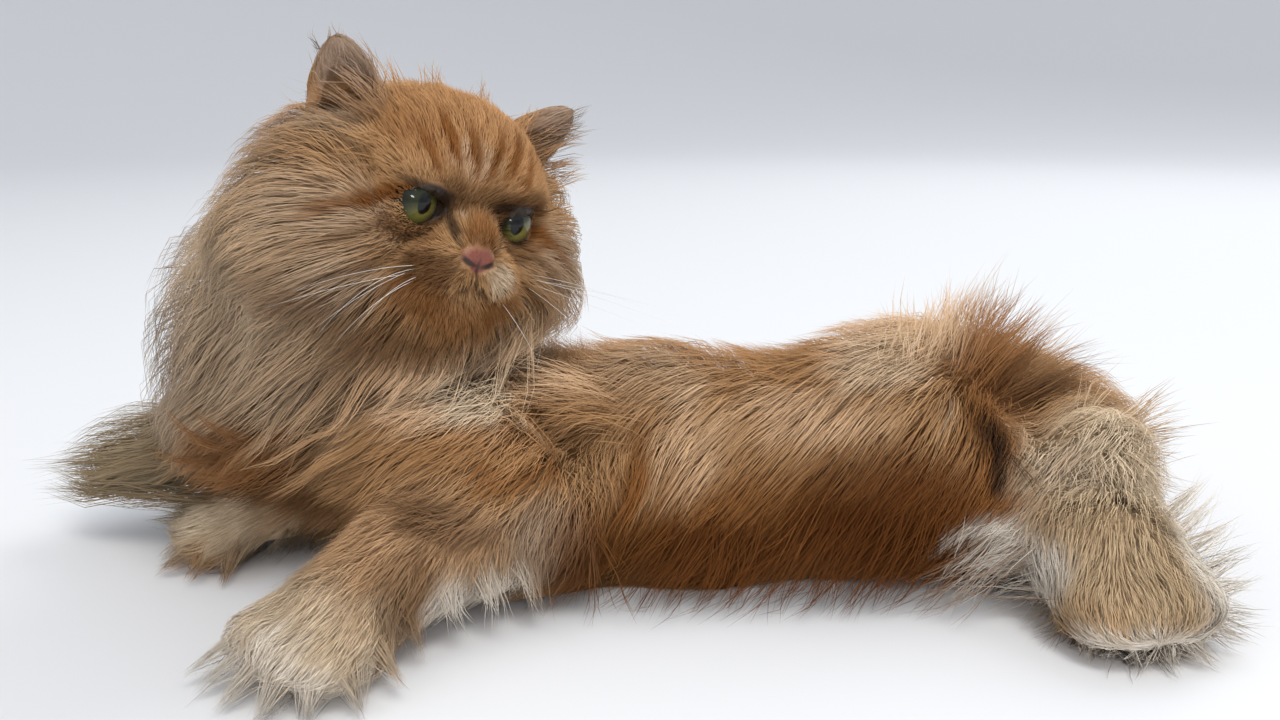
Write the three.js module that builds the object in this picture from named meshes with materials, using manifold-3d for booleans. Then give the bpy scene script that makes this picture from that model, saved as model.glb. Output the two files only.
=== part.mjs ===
// A life-size long-haired cat, lying on the floor with its head turned back over its left shoulder.
// Millimetres, +Z up. The cat's front points along -X and its back end along +X, and its left side faces -Y.
// Each solid has the outline of the coat over one part of the body. The origin is on the floor, under the
// belly.
import * as THREE from "three";
import { mergeVertices } from "three/addons/utils/BufferGeometryUtils.js";
import Module from "manifold-3d";

const wasm = await Module();
wasm.setup();

// Driving dimensions
const backHeight = 106; // top of the back over the floor
const rumpHeight = 120;
const eyeDiameter = 22;
const eyeSpacing = 47.4; // between the middles of the eyes
const noseReach = 52; // from the middle of the head to the tip of the nose
const tailThickness = 46; // coat included, at the middle of the tail
const seam = 0.5; // gap left between two neighbouring solids
const headCell = 11.3; // size of the facets on each part
const pawCell = 12.2;
const bodyCell = 18.4;

// Where the head is, and how it is turned: the face looks back along +X and towards -Y, its left ear lower.
const headCentre = new THREE.Vector3(-91.5, -50, 178.5);
const faceTurn = 37; // degrees from -Y towards +X
const faceDrop = 4; // degrees below level
const headLean = 15.5; // degrees, left ear down

// In the head's own frame, X is the cat's right, Y is forwards and Z is up.
const headFrame = new THREE.Matrix4()
  .makeTranslation(headCentre)
  .multiply(new THREE.Matrix4().makeRotationZ(THREE.MathUtils.degToRad(180 + faceTurn)))
  .multiply(new THREE.Matrix4().makeRotationX(THREE.MathUtils.degToRad(-faceDrop)))
  .multiply(new THREE.Matrix4().makeRotationY(THREE.MathUtils.degToRad(-headLean)));
const toHead = headFrame.clone().invert();

// A field gives the distance from a point to a surface, roughly, and is negative inside.
function ellipsoid(at, radii, turn = [0, 0, 0]) {
  const place = new THREE.Matrix4()
    .makeRotationFromEuler(new THREE.Euler(...turn.map(THREE.MathUtils.degToRad), "ZYX"))
    .setPosition(...at)
    .invert();
  const local = new THREE.Vector3();
  return (p) => {
    local.copy(p).applyMatrix4(place);
    const near = Math.hypot(local.x / radii[0], local.y / radii[1], local.z / radii[2]);
    const slope = Math.hypot(local.x / radii[0] ** 2, local.y / radii[1] ** 2, local.z / radii[2] ** 2);
    return slope < 1e-9 ? -Math.min(...radii) : (near * (near - 1)) / slope;
  };
}

// A rounded limb from one joint to the next, with its own thickness at each.
function limb(from, to, radiusFrom, radiusTo) {
  const a = new THREE.Vector3(...from);
  const axis = new THREE.Vector3(...to).sub(a);
  const local = new THREE.Vector3();
  return (p) => {
    local.copy(p).sub(a);
    const share = THREE.MathUtils.clamp(local.dot(axis) / axis.lengthSq(), 0, 1);
    return local.addScaledVector(axis, -share).length() - THREE.MathUtils.lerp(radiusFrom, radiusTo, share);
  };
}

// Joins fields with a soft fillet between them.
function blend(softness, ...fields) {
  return (p) =>
    fields.reduce((sum, field) => {
      const next = field(p);
      if (sum === null) return next;
      const overlap = Math.max(softness - Math.abs(sum - next), 0) / softness;
      return Math.min(sum, next) - (overlap * overlap * softness) / 4;
    }, null);
}

const inHead = (field) => {
  const local = new THREE.Vector3();
  return (p) => field(local.copy(p).applyMatrix4(toHead));
};
const mirrored = (make) => [make(1), make(-1)];

// How far a point is outside a box
function boxField({ min, max }, p) {
  return Math.max(min.x - p.x, p.x - max.x, min.y - p.y, p.y - max.y, min.z - p.z, p.z - max.z);
}

// Slides a point along the field's slope until it lies on the surface.
function settle(point, field, reach) {
  const step = 0.4;
  const probe = new THREE.Vector3();
  const start = point.clone();
  for (let round = 0; round < 3; round += 1) {
    const here = field(point);
    const slope = new THREE.Vector3();
    for (const axis of ["x", "y", "z"]) {
      probe.copy(point);
      probe[axis] += step;
      slope[axis] = (field(probe) - here) / step;
    }
    if (slope.lengthSq() < 0.01) break;
    point.addScaledVector(slope, -here / slope.lengthSq());
  }
  if (point.distanceTo(start) > reach) point.copy(start);
  return point;
}

// The closed surface of the part of a field in a box, with one vertex for each grid cell that it crosses.
function surfaceOf(whole, bounds, cell) {
  const field = (p) => Math.max(whole(p), boxField(bounds, p));
  const [low, high] = [-1.5, 1.5].map((cells, k) =>
    (k ? bounds.max : bounds.min).clone().addScalar(cells * cell).toArray(),
  );
  const count = [0, 1, 2].map((k) => Math.ceil((high[k] - low[k]) / cell) + 1);
  const corner = (i, j, k) => new THREE.Vector3(low[0] + i * cell, low[1] + j * cell, low[2] + k * cell);
  const index = (i, j, k) => (k * count[1] + j) * count[0] + i;
  const value = new Float64Array(count[0] * count[1] * count[2]);
  for (let k = 0; k < count[2]; k += 1)
    for (let j = 0; j < count[1]; j += 1)
      for (let i = 0; i < count[0]; i += 1) value[index(i, j, k)] = field(corner(i, j, k)) || 1e-6;
  const cells = new Map();
  const positions = [];
  for (let k = 0; k < count[2] - 1; k += 1)
    for (let j = 0; j < count[1] - 1; j += 1)
      for (let i = 0; i < count[0] - 1; i += 1) {
        const crossings = crossingsOf(i, j, k);
        if (!crossings.length) continue;
        const middle = new THREE.Vector3();
        for (const crossing of crossings) middle.addScaledVector(crossing, 1 / crossings.length);
        settle(middle, field, cell * 0.7);
        cells.set(index(i, j, k), positions.length / 3);
        positions.push(middle.x, middle.y, middle.z);
      }
  function crossingsOf(i, j, k) {
    const found = [];
    for (const [axis, u, v] of [[0, 1, 2], [1, 2, 0], [2, 0, 1]])
      for (const a of [0, 1])
        for (const b of [0, 1]) {
          const from = [i, j, k];
          from[u] += a;
          from[v] += b;
          const to = [...from];
          to[axis] += 1;
          const f0 = value[index(...from)];
          const f1 = value[index(...to)];
          if (f0 < 0 !== f1 < 0) found.push(corner(...from).lerp(corner(...to), f0 / (f0 - f1)));
        }
    return found;
  }
  const faces = [];
  for (let k = 1; k < count[2] - 1; k += 1)
    for (let j = 1; j < count[1] - 1; j += 1)
      for (let i = 1; i < count[0] - 1; i += 1)
        for (const [axis, u, v] of [[0, 1, 2], [1, 2, 0], [2, 0, 1]]) {
          const here = [i, j, k];
          const next = [...here];
          next[axis] += 1;
          const inside = value[index(...here)] < 0;
          if (inside === value[index(...next)] < 0) continue;
          const ring = [[0, 0], [-1, 0], [-1, -1], [0, -1]].map(([a, b]) => {
            const at = [...here];
            at[u] += a;
            at[v] += b;
            return cells.get(index(...at));
          });
          if (!inside) ring.reverse();
          faces.push(...splitQuad(ring, positions));
        }
  const geometry = new THREE.BufferGeometry();
  geometry.setAttribute("position", new THREE.Float32BufferAttribute(positions, 3));
  geometry.setIndex(faces);
  return geometry;
}

// Two triangles for four corners, cut along the shorter diagonal.
function splitQuad([a, b, c, d], positions) {
  const gap = (m, n) =>
    Math.hypot(...[0, 1, 2].map((k) => positions[3 * m + k] - positions[3 * n + k]));
  return gap(a, c) < gap(b, d) ? [a, b, c, a, c, d] : [b, c, d, b, d, a];
}

// Geometry to solid and back
function solidOf(geometry) {
  const bare = geometry.clone();
  for (const name of Object.keys(bare.attributes)) if (name !== "position") bare.deleteAttribute(name);
  const merged = mergeVertices(bare, 1e-4);
  return new wasm.Manifold(
    new wasm.Mesh({
      numProp: 3,
      vertProperties: new Float32Array(merged.attributes.position.array),
      triVerts: new Uint32Array(merged.index.array),
    }),
  );
}

function geometryOf(solid) {
  const mesh = solid.getMesh();
  const geometry = new THREE.BufferGeometry();
  const stride = mesh.numProp;
  const positions = [];
  for (let i = 0; i < mesh.vertProperties.length; i += stride)
    positions.push(...mesh.vertProperties.slice(i, i + 3));
  geometry.setAttribute("position", new THREE.Float32BufferAttribute(positions, 3));
  geometry.setIndex([...mesh.triVerts]);
  return geometry;
}

// A block from its middle, size and turn in degrees, made larger by extra on every side
function block({ at, size, turn = [0, 0, 0], frame = new THREE.Matrix4() }, extra = 0) {
  const geometry = new THREE.BoxGeometry(...size.map((length) => length + 2 * extra));
  const place = new THREE.Matrix4()
    .makeRotationFromEuler(new THREE.Euler(...turn.map(THREE.MathUtils.degToRad), "ZYX"))
    .setPosition(...at);
  return geometry.applyMatrix4(place.premultiply(frame));
}

// Head. The muzzle is short, the cheeks are wide, and the eyes are set forwards under a heavy brow.
const headField = inHead(
  blend(
    10,
    ellipsoid([0, -8, 6], [53, 46, 42]),
    ellipsoid([0, 9, 17], [41, 30, 29]),
    ...mirrored((side) => ellipsoid([36 * side, 3, -20], [34, 34, 33])),
    ...mirrored((side) => ellipsoid([44 * side, -3, -4], [36, 30, 30])),
    ...mirrored((side) => ellipsoid([52 * side, -3, -36], [40, 30, 36])),
    ...mirrored((side) => ellipsoid([22 * side, 26, 13], [17, 11, 8])),
    ellipsoid([0, 13, -36], [46, 33, 25]),
    ellipsoid([0, noseReach - 16, -25], [27, 16, 16]),
    ellipsoid([0, noseReach - 20, -42], [20, 17, 15]),
    ellipsoid([0, noseReach - 12, -11], [9, 12, 11]),
  ),
);

const eyeDepth = 25; // middle of the eyeball, ahead of the middle of the head
function eyeball(side, extra) {
  const geometry = new THREE.SphereGeometry(eyeDiameter / 2 + extra, 14, 8);
  geometry.rotateX(Math.PI / 2);
  geometry.translate((side * eyeSpacing) / 2, eyeDepth, 0);
  return solidOf(geometry.applyMatrix4(headFrame));
}

// An ear is an egg with a smaller egg cut from its front. In its own frame, Z runs from the root to the tip.
const earRoot = new THREE.Vector3(39, -15, 24);
const earTip = new THREE.Vector3(59, 2, 57);
const earWidth = 38;
const earThickness = 24;
const earWall = 6; // between the two eggs, at the sides
function earFrame(side) {
  const root = earRoot.clone().multiply(new THREE.Vector3(side, 1, 1));
  const up = earTip.clone().multiply(new THREE.Vector3(side, 1, 1)).sub(root).normalize();
  const forwards = new THREE.Vector3(side * 0.35, 1, -0.2).projectOnPlane(up).normalize();
  const sideways = new THREE.Vector3().crossVectors(forwards, up);
  return headFrame.clone().multiply(new THREE.Matrix4().makeBasis(sideways, forwards, up).setPosition(root));
}
function egg(at, radii, taper, frame) {
  const geometry = new THREE.SphereGeometry(1, 14, 10).rotateX(Math.PI / 2);
  const spots = geometry.attributes.position;
  for (let i = 0; i < spots.count; i += 1) {
    const slim = 1 - taper * spots.getZ(i);
    spots.setXYZ(i, spots.getX(i) * slim, spots.getY(i) * slim, spots.getZ(i));
  }
  return solidOf(geometry.scale(...radii).translate(...at).applyMatrix4(frame));
}
function earShell(side) {
  const reach = earTip.distanceTo(earRoot);
  const halfWidth = earWidth / 2;
  const outer = egg([0, 0, 4], [halfWidth, earThickness / 2, reach - 4], 0.3, earFrame(side));
  const hollow = [halfWidth - earWall, earThickness / 2, reach - 10];
  return outer.subtract(egg([0, 9, 4], hollow, 0.3, earFrame(side)));
}

// Neck and ruff: the long hair behind the cheeks, down to the chest, and a tongue of it on the floor
const ruffField = blend(
  22,
  ellipsoid([-130, -28, 162], [62, 56, 56]),
  ellipsoid([-156, -18, 112], [74, 64, 70]),
  ellipsoid([-152, -10, 66], [78, 66, 62]),
  limb([-205, 8, 42], [-268, 16, 33], 38, 22),
  limb([-268, 16, 33], [-314, 20, 28], 22, 10),
);

// Trunk, lying on the belly and the right hip, with the thighs folded against it
const trunkField = blend(
  26,
  ellipsoid([-98, -4, 54], [84, 66, 56]),
  ellipsoid([10, 6, backHeight - 60], [110, 66, 60]),
  limb([-60, -10, 24], [30, -18, 24], 44, 48),
  limb([30, -18, 24], [150, -8, 24], 48, 46),
  ellipsoid([138, 8, rumpHeight - 66], [84, 66, 66]),
  ellipsoid([214, 2, 48], [46, 44, 48]),
  ellipsoid([112, -30, 56], [72, 38, 46], [0, 0, -14]),
  ellipsoid([112, 50, 46], [70, 38, 44], [0, 0, 10]),
);

// Four toes at the end of a leg: a row of short limbs that fan out a little
const toePlaces = [-1.5, -0.5, 0.5, 1.5];
function toes(from, heading, spacing, radius, length) {
  const angle = THREE.MathUtils.degToRad(heading);
  return toePlaces.map((place) => {
    const along = [Math.cos(angle), Math.sin(angle), 0];
    const across = [-Math.sin(angle), Math.cos(angle), 0];
    const start = from.map((v, k) => v + across[k] * place * spacing);
    const reach = length - Math.abs(place) * 3.5;
    const end = start.map((v, k) => v + along[k] * reach + across[k] * place * 2.5);
    return limb(start, end, radius, radius * 0.85);
  });
}

// Left foreleg, stretched towards -Y: shoulder, elbow, wrist and toes
const leftElbow = [-42, -67, 36];
const leftWrist = [-102, -108, 31];
const leftForelegField = blend(
  14,
  ellipsoid([-92, -52, 70], [44, 34, 38]),
  limb([-84, -58, 66], leftElbow, 34, 30),
  limb(leftElbow, leftWrist, 30, 26),
  limb(leftWrist, [-122, -136, 22], 26, 26),
  ...toes([-127, -139, 15], 234, 12.5, 14, 22),
);

// Right foreleg, folded under the chest, with its paw ahead of the ruff
const rightWrist = [-176, -24, 27];
const rightForelegField = blend(
  12,
  limb([-116, -8, 34], rightWrist, 27, 23),
  limb(rightWrist, [-200, -28, 19], 23, 21),
  ...toes([-202, -28, 14], 196, 9, 12, 14),
);

// Left hind leg: the shank folded under the thigh, and the foot turned out to the side
const leftHock = [178, -52, 28];
const leftHindField = blend(
  16,
  limb([126, -40, 28], leftHock, 26, 30),
  ellipsoid([212, -40, 46], [40, 36, 38]),
  limb(leftHock, [203, -96, 27], 30, 33),
  limb([203, -96, 27], [211, -112, 20], 33, 27),
  ...toes([206, -112, 16], 295, 14, 15, 17),
);

// Right hind leg, folded on the far side
const rightHock = [172, 66, 22];
const rightHindField = blend(
  14,
  limb([100, 74, 24], rightHock, 24, 22),
  ellipsoid([192, 84, 30], [34, 28, 34]),
  limb([150, 82, 22], [88, 90, 20], 21, 22),
  ...toes([84, 90, 14], 175, 10, 12, 14),
);

// Tail, curled along the far side
const tailPath = new THREE.CatmullRomCurve3([
  new THREE.Vector3(206, 30, 58),
  new THREE.Vector3(234, 76, 36),
  new THREE.Vector3(206, 120, 27),
  new THREE.Vector3(140, 137, 25),
  new THREE.Vector3(72, 136, 24),
  new THREE.Vector3(22, 124, 20),
]);
const tailPieces = 12;
const tailRadius = (share) => (tailThickness / 2) * (0.92 + 0.5 * share - 0.85 * share ** 4);
const tailField = blend(
  10,
  ...Array.from({ length: tailPieces }, (_, i) => {
    const [from, to] = [i / tailPieces, (i + 1) / tailPieces];
    const [a, b] = [from, to].map((share) => tailPath.getPointAt(share).toArray());
    return limb(a, b, tailRadius(from), tailRadius(to));
  }),
);

// The whole cat: soft fillets where the hair runs on from one part to the next, and creases elsewhere
const headAndRuff = blend(12, headField, ruffField);
const body = blend(22, ruffField, trunkField);
const legs = [leftForelegField, rightForelegField, leftHindField, rightHindField];
const wholeField = blend(5, headAndRuff, body, ...legs, tailField);

// The block that holds each body part, in order. A part is what its block holds and no earlier block does.
const earBlock = (side) => ({
  at: [0, 0, 34],
  size: [50, 44, 60],
  frame: earFrame(side),
  cell: headCell,
  added: earShell(side),
});
const blocks = {
  ear_left: earBlock(-1),
  ear_right: earBlock(1),
  chin: { at: [0, 50, -58], size: [46, 60, 30], frame: headFrame, cell: headCell },
  muzzle: { at: [0, 62, -24], size: [64, 60, 38], frame: headFrame, cell: headCell },
  head: { at: [0, 22, 18], size: [200, 140, 162], frame: headFrame, cell: headCell },
  neck: { at: [-130, -10, 200], size: [200, 180, 150], cell: bodyCell },
  bib: { at: [-285, 0, 50], size: [120, 180, 110], cell: bodyCell },
  paw_front_right: { at: [-222, -34, 22], size: [60, 60, 50], turn: [0, 0, 16], cell: pawCell },
  paw_front_left: { at: [-135, -152, 30], size: [80, 70, 80], turn: [0, 0, -36], cell: pawCell },
  forearm_left: { at: [-92, -118, 40], size: [100, 60, 100], turn: [0, 0, -30], cell: pawCell },
  upper_arm_left: { at: [-70, -94, 50], size: [130, 80, 110], turn: [0, 0, -12], cell: bodyCell },
  ruff: { at: [-190, -10, 60], size: [180, 190, 140], cell: bodyCell },
  foot_hind_left: { at: [216, -116, 35], size: [110, 80, 90], turn: [0, 0, 27], cell: pawCell },
  shank_left: { at: [186, -62, 20], size: [160, 70, 60], cell: bodyCell },
  tail_tip: { at: [46, 150, 30], size: [110, 78, 80], cell: bodyCell },
  tail_middle: { at: [160, 150, 30], size: [118, 78, 80], cell: bodyCell },
  tail_base: { at: [260, 110, 40], size: [82, 130, 90], cell: bodyCell },
  foot_hind_right: { at: [92, 95, 25], size: [80, 50, 60], cell: pawCell },
  shank_right: { at: [150, 90, 25], size: [160, 60, 56], cell: bodyCell },
  thigh_left: { at: [116, -70, 60], size: [150, 80, 100], cell: bodyCell },
  thigh_right: { at: [116, 84, 60], size: [150, 80, 100], cell: bodyCell },
  rump: { at: [190, 0, 70], size: [160, 220, 150], cell: bodyCell },
  belly: { at: [34, 0, 70], size: [152, 220, 150], cell: bodyCell },
  shoulders: { at: [-82, 0, 70], size: [80, 220, 120], cell: bodyCell },
};

const floorBlock = solidOf(block({ at: [0, 0, -50], size: [1200, 1200, 100] }));
const eyes = { eye_left: -1, eye_right: 1 };
const taken = Object.values(eyes).map((side) => eyeball(side, seam));
const solids = {};
for (const [name, side] of Object.entries(eyes)) solids[name] = eyeball(side, 0);
for (const [name, region] of Object.entries(blocks)) {
  const reach = block(region, 1.5 * region.cell);
  reach.computeBoundingBox();
  const surface = surfaceOf(wholeField, reach.boundingBox, region.cell);
  const whole = region.added ? solidOf(surface).add(region.added) : solidOf(surface);
  const held = whole.intersect(solidOf(block(region))).subtract(floorBlock);
  const pieces = taken.reduce((solid, cut) => solid.subtract(cut), held).decompose();
  solids[name] = pieces.sort((a, b) => b.volume() - a.volume())[0];
  taken.push(solidOf(block(region, seam)));
}

// Colours of the coat and the eyes
const looks = {
  eye: { colour: [0.3, 0.34, 0.12], roughness: 0.1 },
  cream: { colour: [0.76, 0.62, 0.42], roughness: 0.9 },
  tan: { colour: [0.6, 0.42, 0.25], roughness: 0.9 },
  red: { colour: [0.52, 0.31, 0.15], roughness: 0.9 },
};
function lookOf(name) {
  if (name.startsWith("eye")) return looks.eye;
  if (/paw|foot|bib|chin/.test(name)) return looks.cream;
  return /thigh|rump|tail/.test(name) ? looks.red : looks.tan;
}

const cat = new THREE.Group();
for (const [name, solid] of Object.entries(solids)) {
  const { colour, roughness } = lookOf(name);
  const color = new THREE.Color(...colour);
  const material = new THREE.MeshStandardMaterial({ color, roughness, metalness: 0 });
  const mesh = new THREE.Mesh(geometryOf(solid), material);
  mesh.name = name;
  cat.add(mesh);
}

export default cat;
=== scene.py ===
# A life-size long-haired cat, lying with its head turned back: skin, eyes, coat and whiskers
import math

import bmesh
import bpy
import numpy as np
from mathutils import Matrix, Vector
from mathutils.bvhtree import BVHTree
from mathutils.kdtree import KDTree


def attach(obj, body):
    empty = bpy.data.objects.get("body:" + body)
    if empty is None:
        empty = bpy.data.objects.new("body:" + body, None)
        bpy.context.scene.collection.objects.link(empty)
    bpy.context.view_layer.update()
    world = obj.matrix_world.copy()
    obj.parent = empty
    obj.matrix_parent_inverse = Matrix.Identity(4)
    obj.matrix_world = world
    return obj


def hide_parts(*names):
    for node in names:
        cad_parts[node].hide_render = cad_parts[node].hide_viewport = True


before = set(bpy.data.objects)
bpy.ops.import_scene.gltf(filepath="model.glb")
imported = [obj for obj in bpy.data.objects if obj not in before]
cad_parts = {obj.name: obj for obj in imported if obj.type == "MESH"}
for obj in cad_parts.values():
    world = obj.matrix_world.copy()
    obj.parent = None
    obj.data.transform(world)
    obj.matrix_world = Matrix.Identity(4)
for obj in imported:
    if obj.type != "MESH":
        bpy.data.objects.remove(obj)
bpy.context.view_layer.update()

metre = 0.001  # shapes are worked out in millimetres and made in metres
chance = np.random.default_rng(7)

# Where the head is and how it is turned. In the head's own frame X is the cat's right, Y forwards and Z up.
pose = {
    "headCentre": (-91.5, -50, 178.5),
    "faceTurn": 37,
    "faceDrop": 4,
    "headLean": 15.5,
}
headFrame = (
    Matrix.Translation(pose["headCentre"])
    @ Matrix.Rotation(math.radians(180 + pose["faceTurn"]), 4, "Z")
    @ Matrix.Rotation(math.radians(-pose["faceDrop"]), 4, "X")
    @ Matrix.Rotation(math.radians(-pose["headLean"]), 4, "Y")
)
headTurn = np.array(headFrame)[:3, :3]
headAt = np.array(headFrame)[:3, 3]


def toHead(points):
    return (points - headAt) @ headTurn


def outOfHead(points):
    return points @ headTurn.T + headAt


def unit(vectors):
    return vectors / np.maximum(np.linalg.norm(vectors, axis=-1, keepdims=True), 1e-9)


def sizeOf(vectors):
    return np.sqrt(np.einsum("ij,ij->i", vectors, vectors))


def smooth(share):
    share = np.clip(share, 0, 1)
    return share * share * (3 - 2 * share)


# Masses of the body. Each has the coat's outline, and its depth is how far the skin lies under it.
# A mass with no depth is hair all through, and has no skin.
def egg(at, radii, depth, turn=0):
    return {"at": np.array(at, float), "radii": np.array(radii, float), "depth": depth, "turn": turn}


def limb(start, end, startRadius, endRadius, depth):
    ends = np.array([start, end], float)
    return {"start": ends[0], "end": ends[1], "radii": (startRadius, endRadius), "depth": depth}


def pair(make):
    return [make(1), make(-1)]


def toes(start, heading, spacing, radius, length, depth):
    angle = math.radians(heading)
    along = np.array([math.cos(angle), math.sin(angle), 0])
    across = np.array([-math.sin(angle), math.cos(angle), 0])
    made = []
    for place in (-1.5, -0.5, 0.5, 1.5):  # four toes, the outer ones shorter
        root = np.array(start) + across * place * spacing
        tip = root + along * (length - 3.5 * abs(place)) + across * 2.5 * place
        made.append(limb(root, tip, radius, radius * 0.85, depth))
    return made


tail = {
    "path": [(206, 30, 58), (234, 76, 36), (206, 120, 27), (140, 137, 25), (72, 136, 24), (22, 124, 20)],
    "pieces": 12,
    "radius": 23,
    "hairShare": 0.62,
    "stepsPerSpan": 20,
}


def tailPoints():
    nodes = [Vector(p) for p in tail["path"]]
    nodes = [nodes[0] * 2 - nodes[1], *nodes, nodes[-1] * 2 - nodes[-2]]
    fine = []
    for a, b, c, d in zip(nodes, nodes[1:], nodes[2:], nodes[3:]):
        for i in range(tail["stepsPerSpan"]):
            t = i / tail["stepsPerSpan"]
            bend = (2 * a - 5 * b + 4 * c - d) * t * t
            fine.append(0.5 * (2 * b + (c - a) * t + bend + (3 * b - a - 3 * c + d) * t**3))
    fine = np.array([*fine, nodes[-2]])
    run = np.concatenate([[0], np.cumsum(np.linalg.norm(np.diff(fine, axis=0), axis=1))])
    places = np.linspace(0, run[-1], tail["pieces"] + 1)
    return np.stack([np.interp(places, run, fine[:, k]) for k in range(3)], 1)


def tailLimbs():
    points = tailPoints()
    shares = np.linspace(0, 1, len(points))
    radii = tail["radius"] * (0.92 + 0.5 * shares - 0.85 * shares**4)
    return [
        limb(points[i], points[i + 1], radii[i], radii[i + 1], radii[i + 1] * tail["hairShare"])
        for i in range(tail["pieces"])
    ]


parts = {
    "head": (10, [
        egg((0, -8, 6), (53, 46, 42), 7),
        egg((0, 9, 17), (41, 30, 29), 4),
        *pair(lambda side: egg((36 * side, 3, -20), (34, 34, 33), 7)),
        *pair(lambda side: egg((44 * side, -3, -4), (36, 30, 30), 15)),
        *pair(lambda side: egg((52 * side, -3, -36), (40, 30, 36), None)),
        *pair(lambda side: egg((22 * side, 26, 13), (17, 11, 8), 3)),
        egg((0, 13, -36), (46, 33, 25), 10),
        egg((0, 36, -25), (27, 16, 16), 4),
        egg((0, 32, -42), (20, 17, 15), 5),
        egg((0, 40, -11), (9, 12, 11), 1.2),
    ]),
    "ruff": (22, [
        egg((-130, -28, 162), (62, 56, 56), 26),
        egg((-156, -18, 112), (74, 64, 70), 32),
        egg((-152, -10, 66), (78, 66, 62), 28),
        limb((-205, 8, 42), (-268, 16, 33), 38, 22, None),
        limb((-268, 16, 33), (-314, 20, 28), 22, 10, None),
    ]),
    "trunk": (26, [
        egg((-98, -4, 54), (84, 66, 56), 20),
        egg((10, 6, 46), (110, 66, 60), 18),
        limb((-60, -10, 24), (30, -18, 24), 44, 48, 16),
        limb((30, -18, 24), (150, -8, 24), 48, 46, 16),
        egg((138, 8, 54), (84, 66, 66), 20),
        egg((214, 2, 48), (46, 44, 48), 22),
        egg((112, -30, 56), (72, 38, 46), 16, -14),
        egg((112, 50, 46), (70, 38, 44), 16, 10),
    ]),
    "leftForeleg": (14, [
        egg((-92, -52, 70), (44, 34, 38), 14),
        limb((-84, -58, 66), (-42, -67, 36), 34, 30, 12),
        limb((-42, -67, 36), (-102, -108, 31), 30, 26, 11),
        limb((-102, -108, 31), (-122, -136, 22), 26, 26, 9),
        *toes((-127, -139, 15), 234, 12.5, 14, 22, 4.5),
    ]),
    "rightForeleg": (12, [
        limb((-116, -8, 34), (-176, -24, 27), 27, 23, 10),
        limb((-176, -24, 27), (-200, -28, 19), 23, 21, 8),
        *toes((-202, -28, 14), 196, 9, 12, 14, 4),
    ]),
    "leftHind": (16, [
        limb((126, -40, 28), (178, -52, 28), 26, 30, 10),
        egg((212, -40, 46), (40, 36, 38), 16),
        limb((178, -52, 28), (203, -96, 27), 30, 33, 12),
        limb((203, -96, 27), (211, -112, 20), 33, 27, 10),
        *toes((206, -112, 16), 295, 14, 15, 17, 5),
    ]),
    "rightHind": (14, [
        limb((100, 74, 24), (172, 66, 22), 24, 22, 8),
        egg((192, 84, 30), (34, 28, 34), None),
        limb((150, 82, 22), (88, 90, 20), 21, 22, 8),
        *toes((84, 90, 14), 175, 10, 12, 14, 4),
    ]),
    "tail": (10, tailLimbs()),
}
# how softly one part runs into the next
joins = {"headToRuff": 20, "ruffToTrunk": 22, "limbs": 12, "ears": 2, "bareEars": 4, "looserCoat": 2.4}
ear = {
    "root": (39, -15, 24),
    "tip": (59, 2, 57),
    "width": 38,
    "thickness": 24,
    "wall": 6,
    "taper": 0.3,
    "depth": 1.2,
    "rise": 4,  # how far its middle stands over its root
    "cupAhead": 9,
    "cupShorter": 10,
}
eye = {"at": (23.7, 25, 0), "radius": 11}


def turned(local, degrees, first, second):
    angle = math.radians(degrees)
    c, s = math.cos(angle), math.sin(angle)
    result = local.copy()
    result[:, first] = c * local[:, first] + s * local[:, second]
    result[:, second] = c * local[:, second] - s * local[:, first]
    return result


def distanceTo(mass, points, bare):
    depth = mass["depth"] if bare else 0
    if "start" in mass:
        axis = mass["end"] - mass["start"]
        local = points - mass["start"].astype(points.dtype)
        share = np.clip(local @ axis.astype(points.dtype) / (axis @ axis), 0, 1)
        local -= share[:, None] * axis.astype(points.dtype)
        first, last = mass["radii"]
        return sizeOf(local) - (first + (last - first) * share) + depth
    local = points - mass["at"].astype(points.dtype)
    if mass["turn"]:
        local = turned(local, mass["turn"], 0, 1)
    return eggDistance(local, mass["radii"] - depth)


def eggDistance(local, radii):
    radii = np.asarray(radii, local.dtype)
    local = local / radii
    near = sizeOf(local)
    slope = sizeOf(local / radii)
    return near * (near - 1) / np.maximum(slope, 1e-6)


def blend(softness, fields):
    total = fields[0]
    for field in fields[1:]:
        overlap = np.maximum(softness - np.abs(total - field), 0)
        total = np.minimum(total, field) - overlap**2 / (4 * softness)
    return total


def carve(softness, solid, hollow):
    return -blend(softness, [-solid, hollow])


def earAxes(side):
    root = np.array(ear["root"]) * (side, 1, 1)
    up = unit(np.array(ear["tip"]) * (side, 1, 1) - root)
    forwards = np.array([0.35 * side, 1, -0.2])
    forwards = unit(forwards - forwards @ up * up)
    return root, np.stack([np.cross(forwards, up), forwards, up], 1)


def earDistance(inHead, side, bare):
    root, axes = earAxes(side)
    local = (inHead - root) @ axes
    reach = np.linalg.norm(np.subtract(ear["tip"], ear["root"]))
    depth = ear["depth"] if bare else 0

    def tapered(at, radii):
        place = local - at
        slim = 1 - ear["taper"] * np.clip(place[:, 2] / radii[2], -1, 1)
        place[:, :2] /= slim[:, None]
        return eggDistance(place, radii)

    halfWidth, halfThickness = ear["width"] / 2, ear["thickness"] / 2
    rise = ear["rise"]
    outer = tapered((0, 0, rise), (halfWidth - depth, halfThickness - depth, reach - rise - depth))
    cup = (halfWidth - ear["wall"], halfThickness, reach - ear["cupShorter"])
    hollow = tapered((0, ear["cupAhead"], rise), cup)
    return np.maximum(outer, -hollow)


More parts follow.
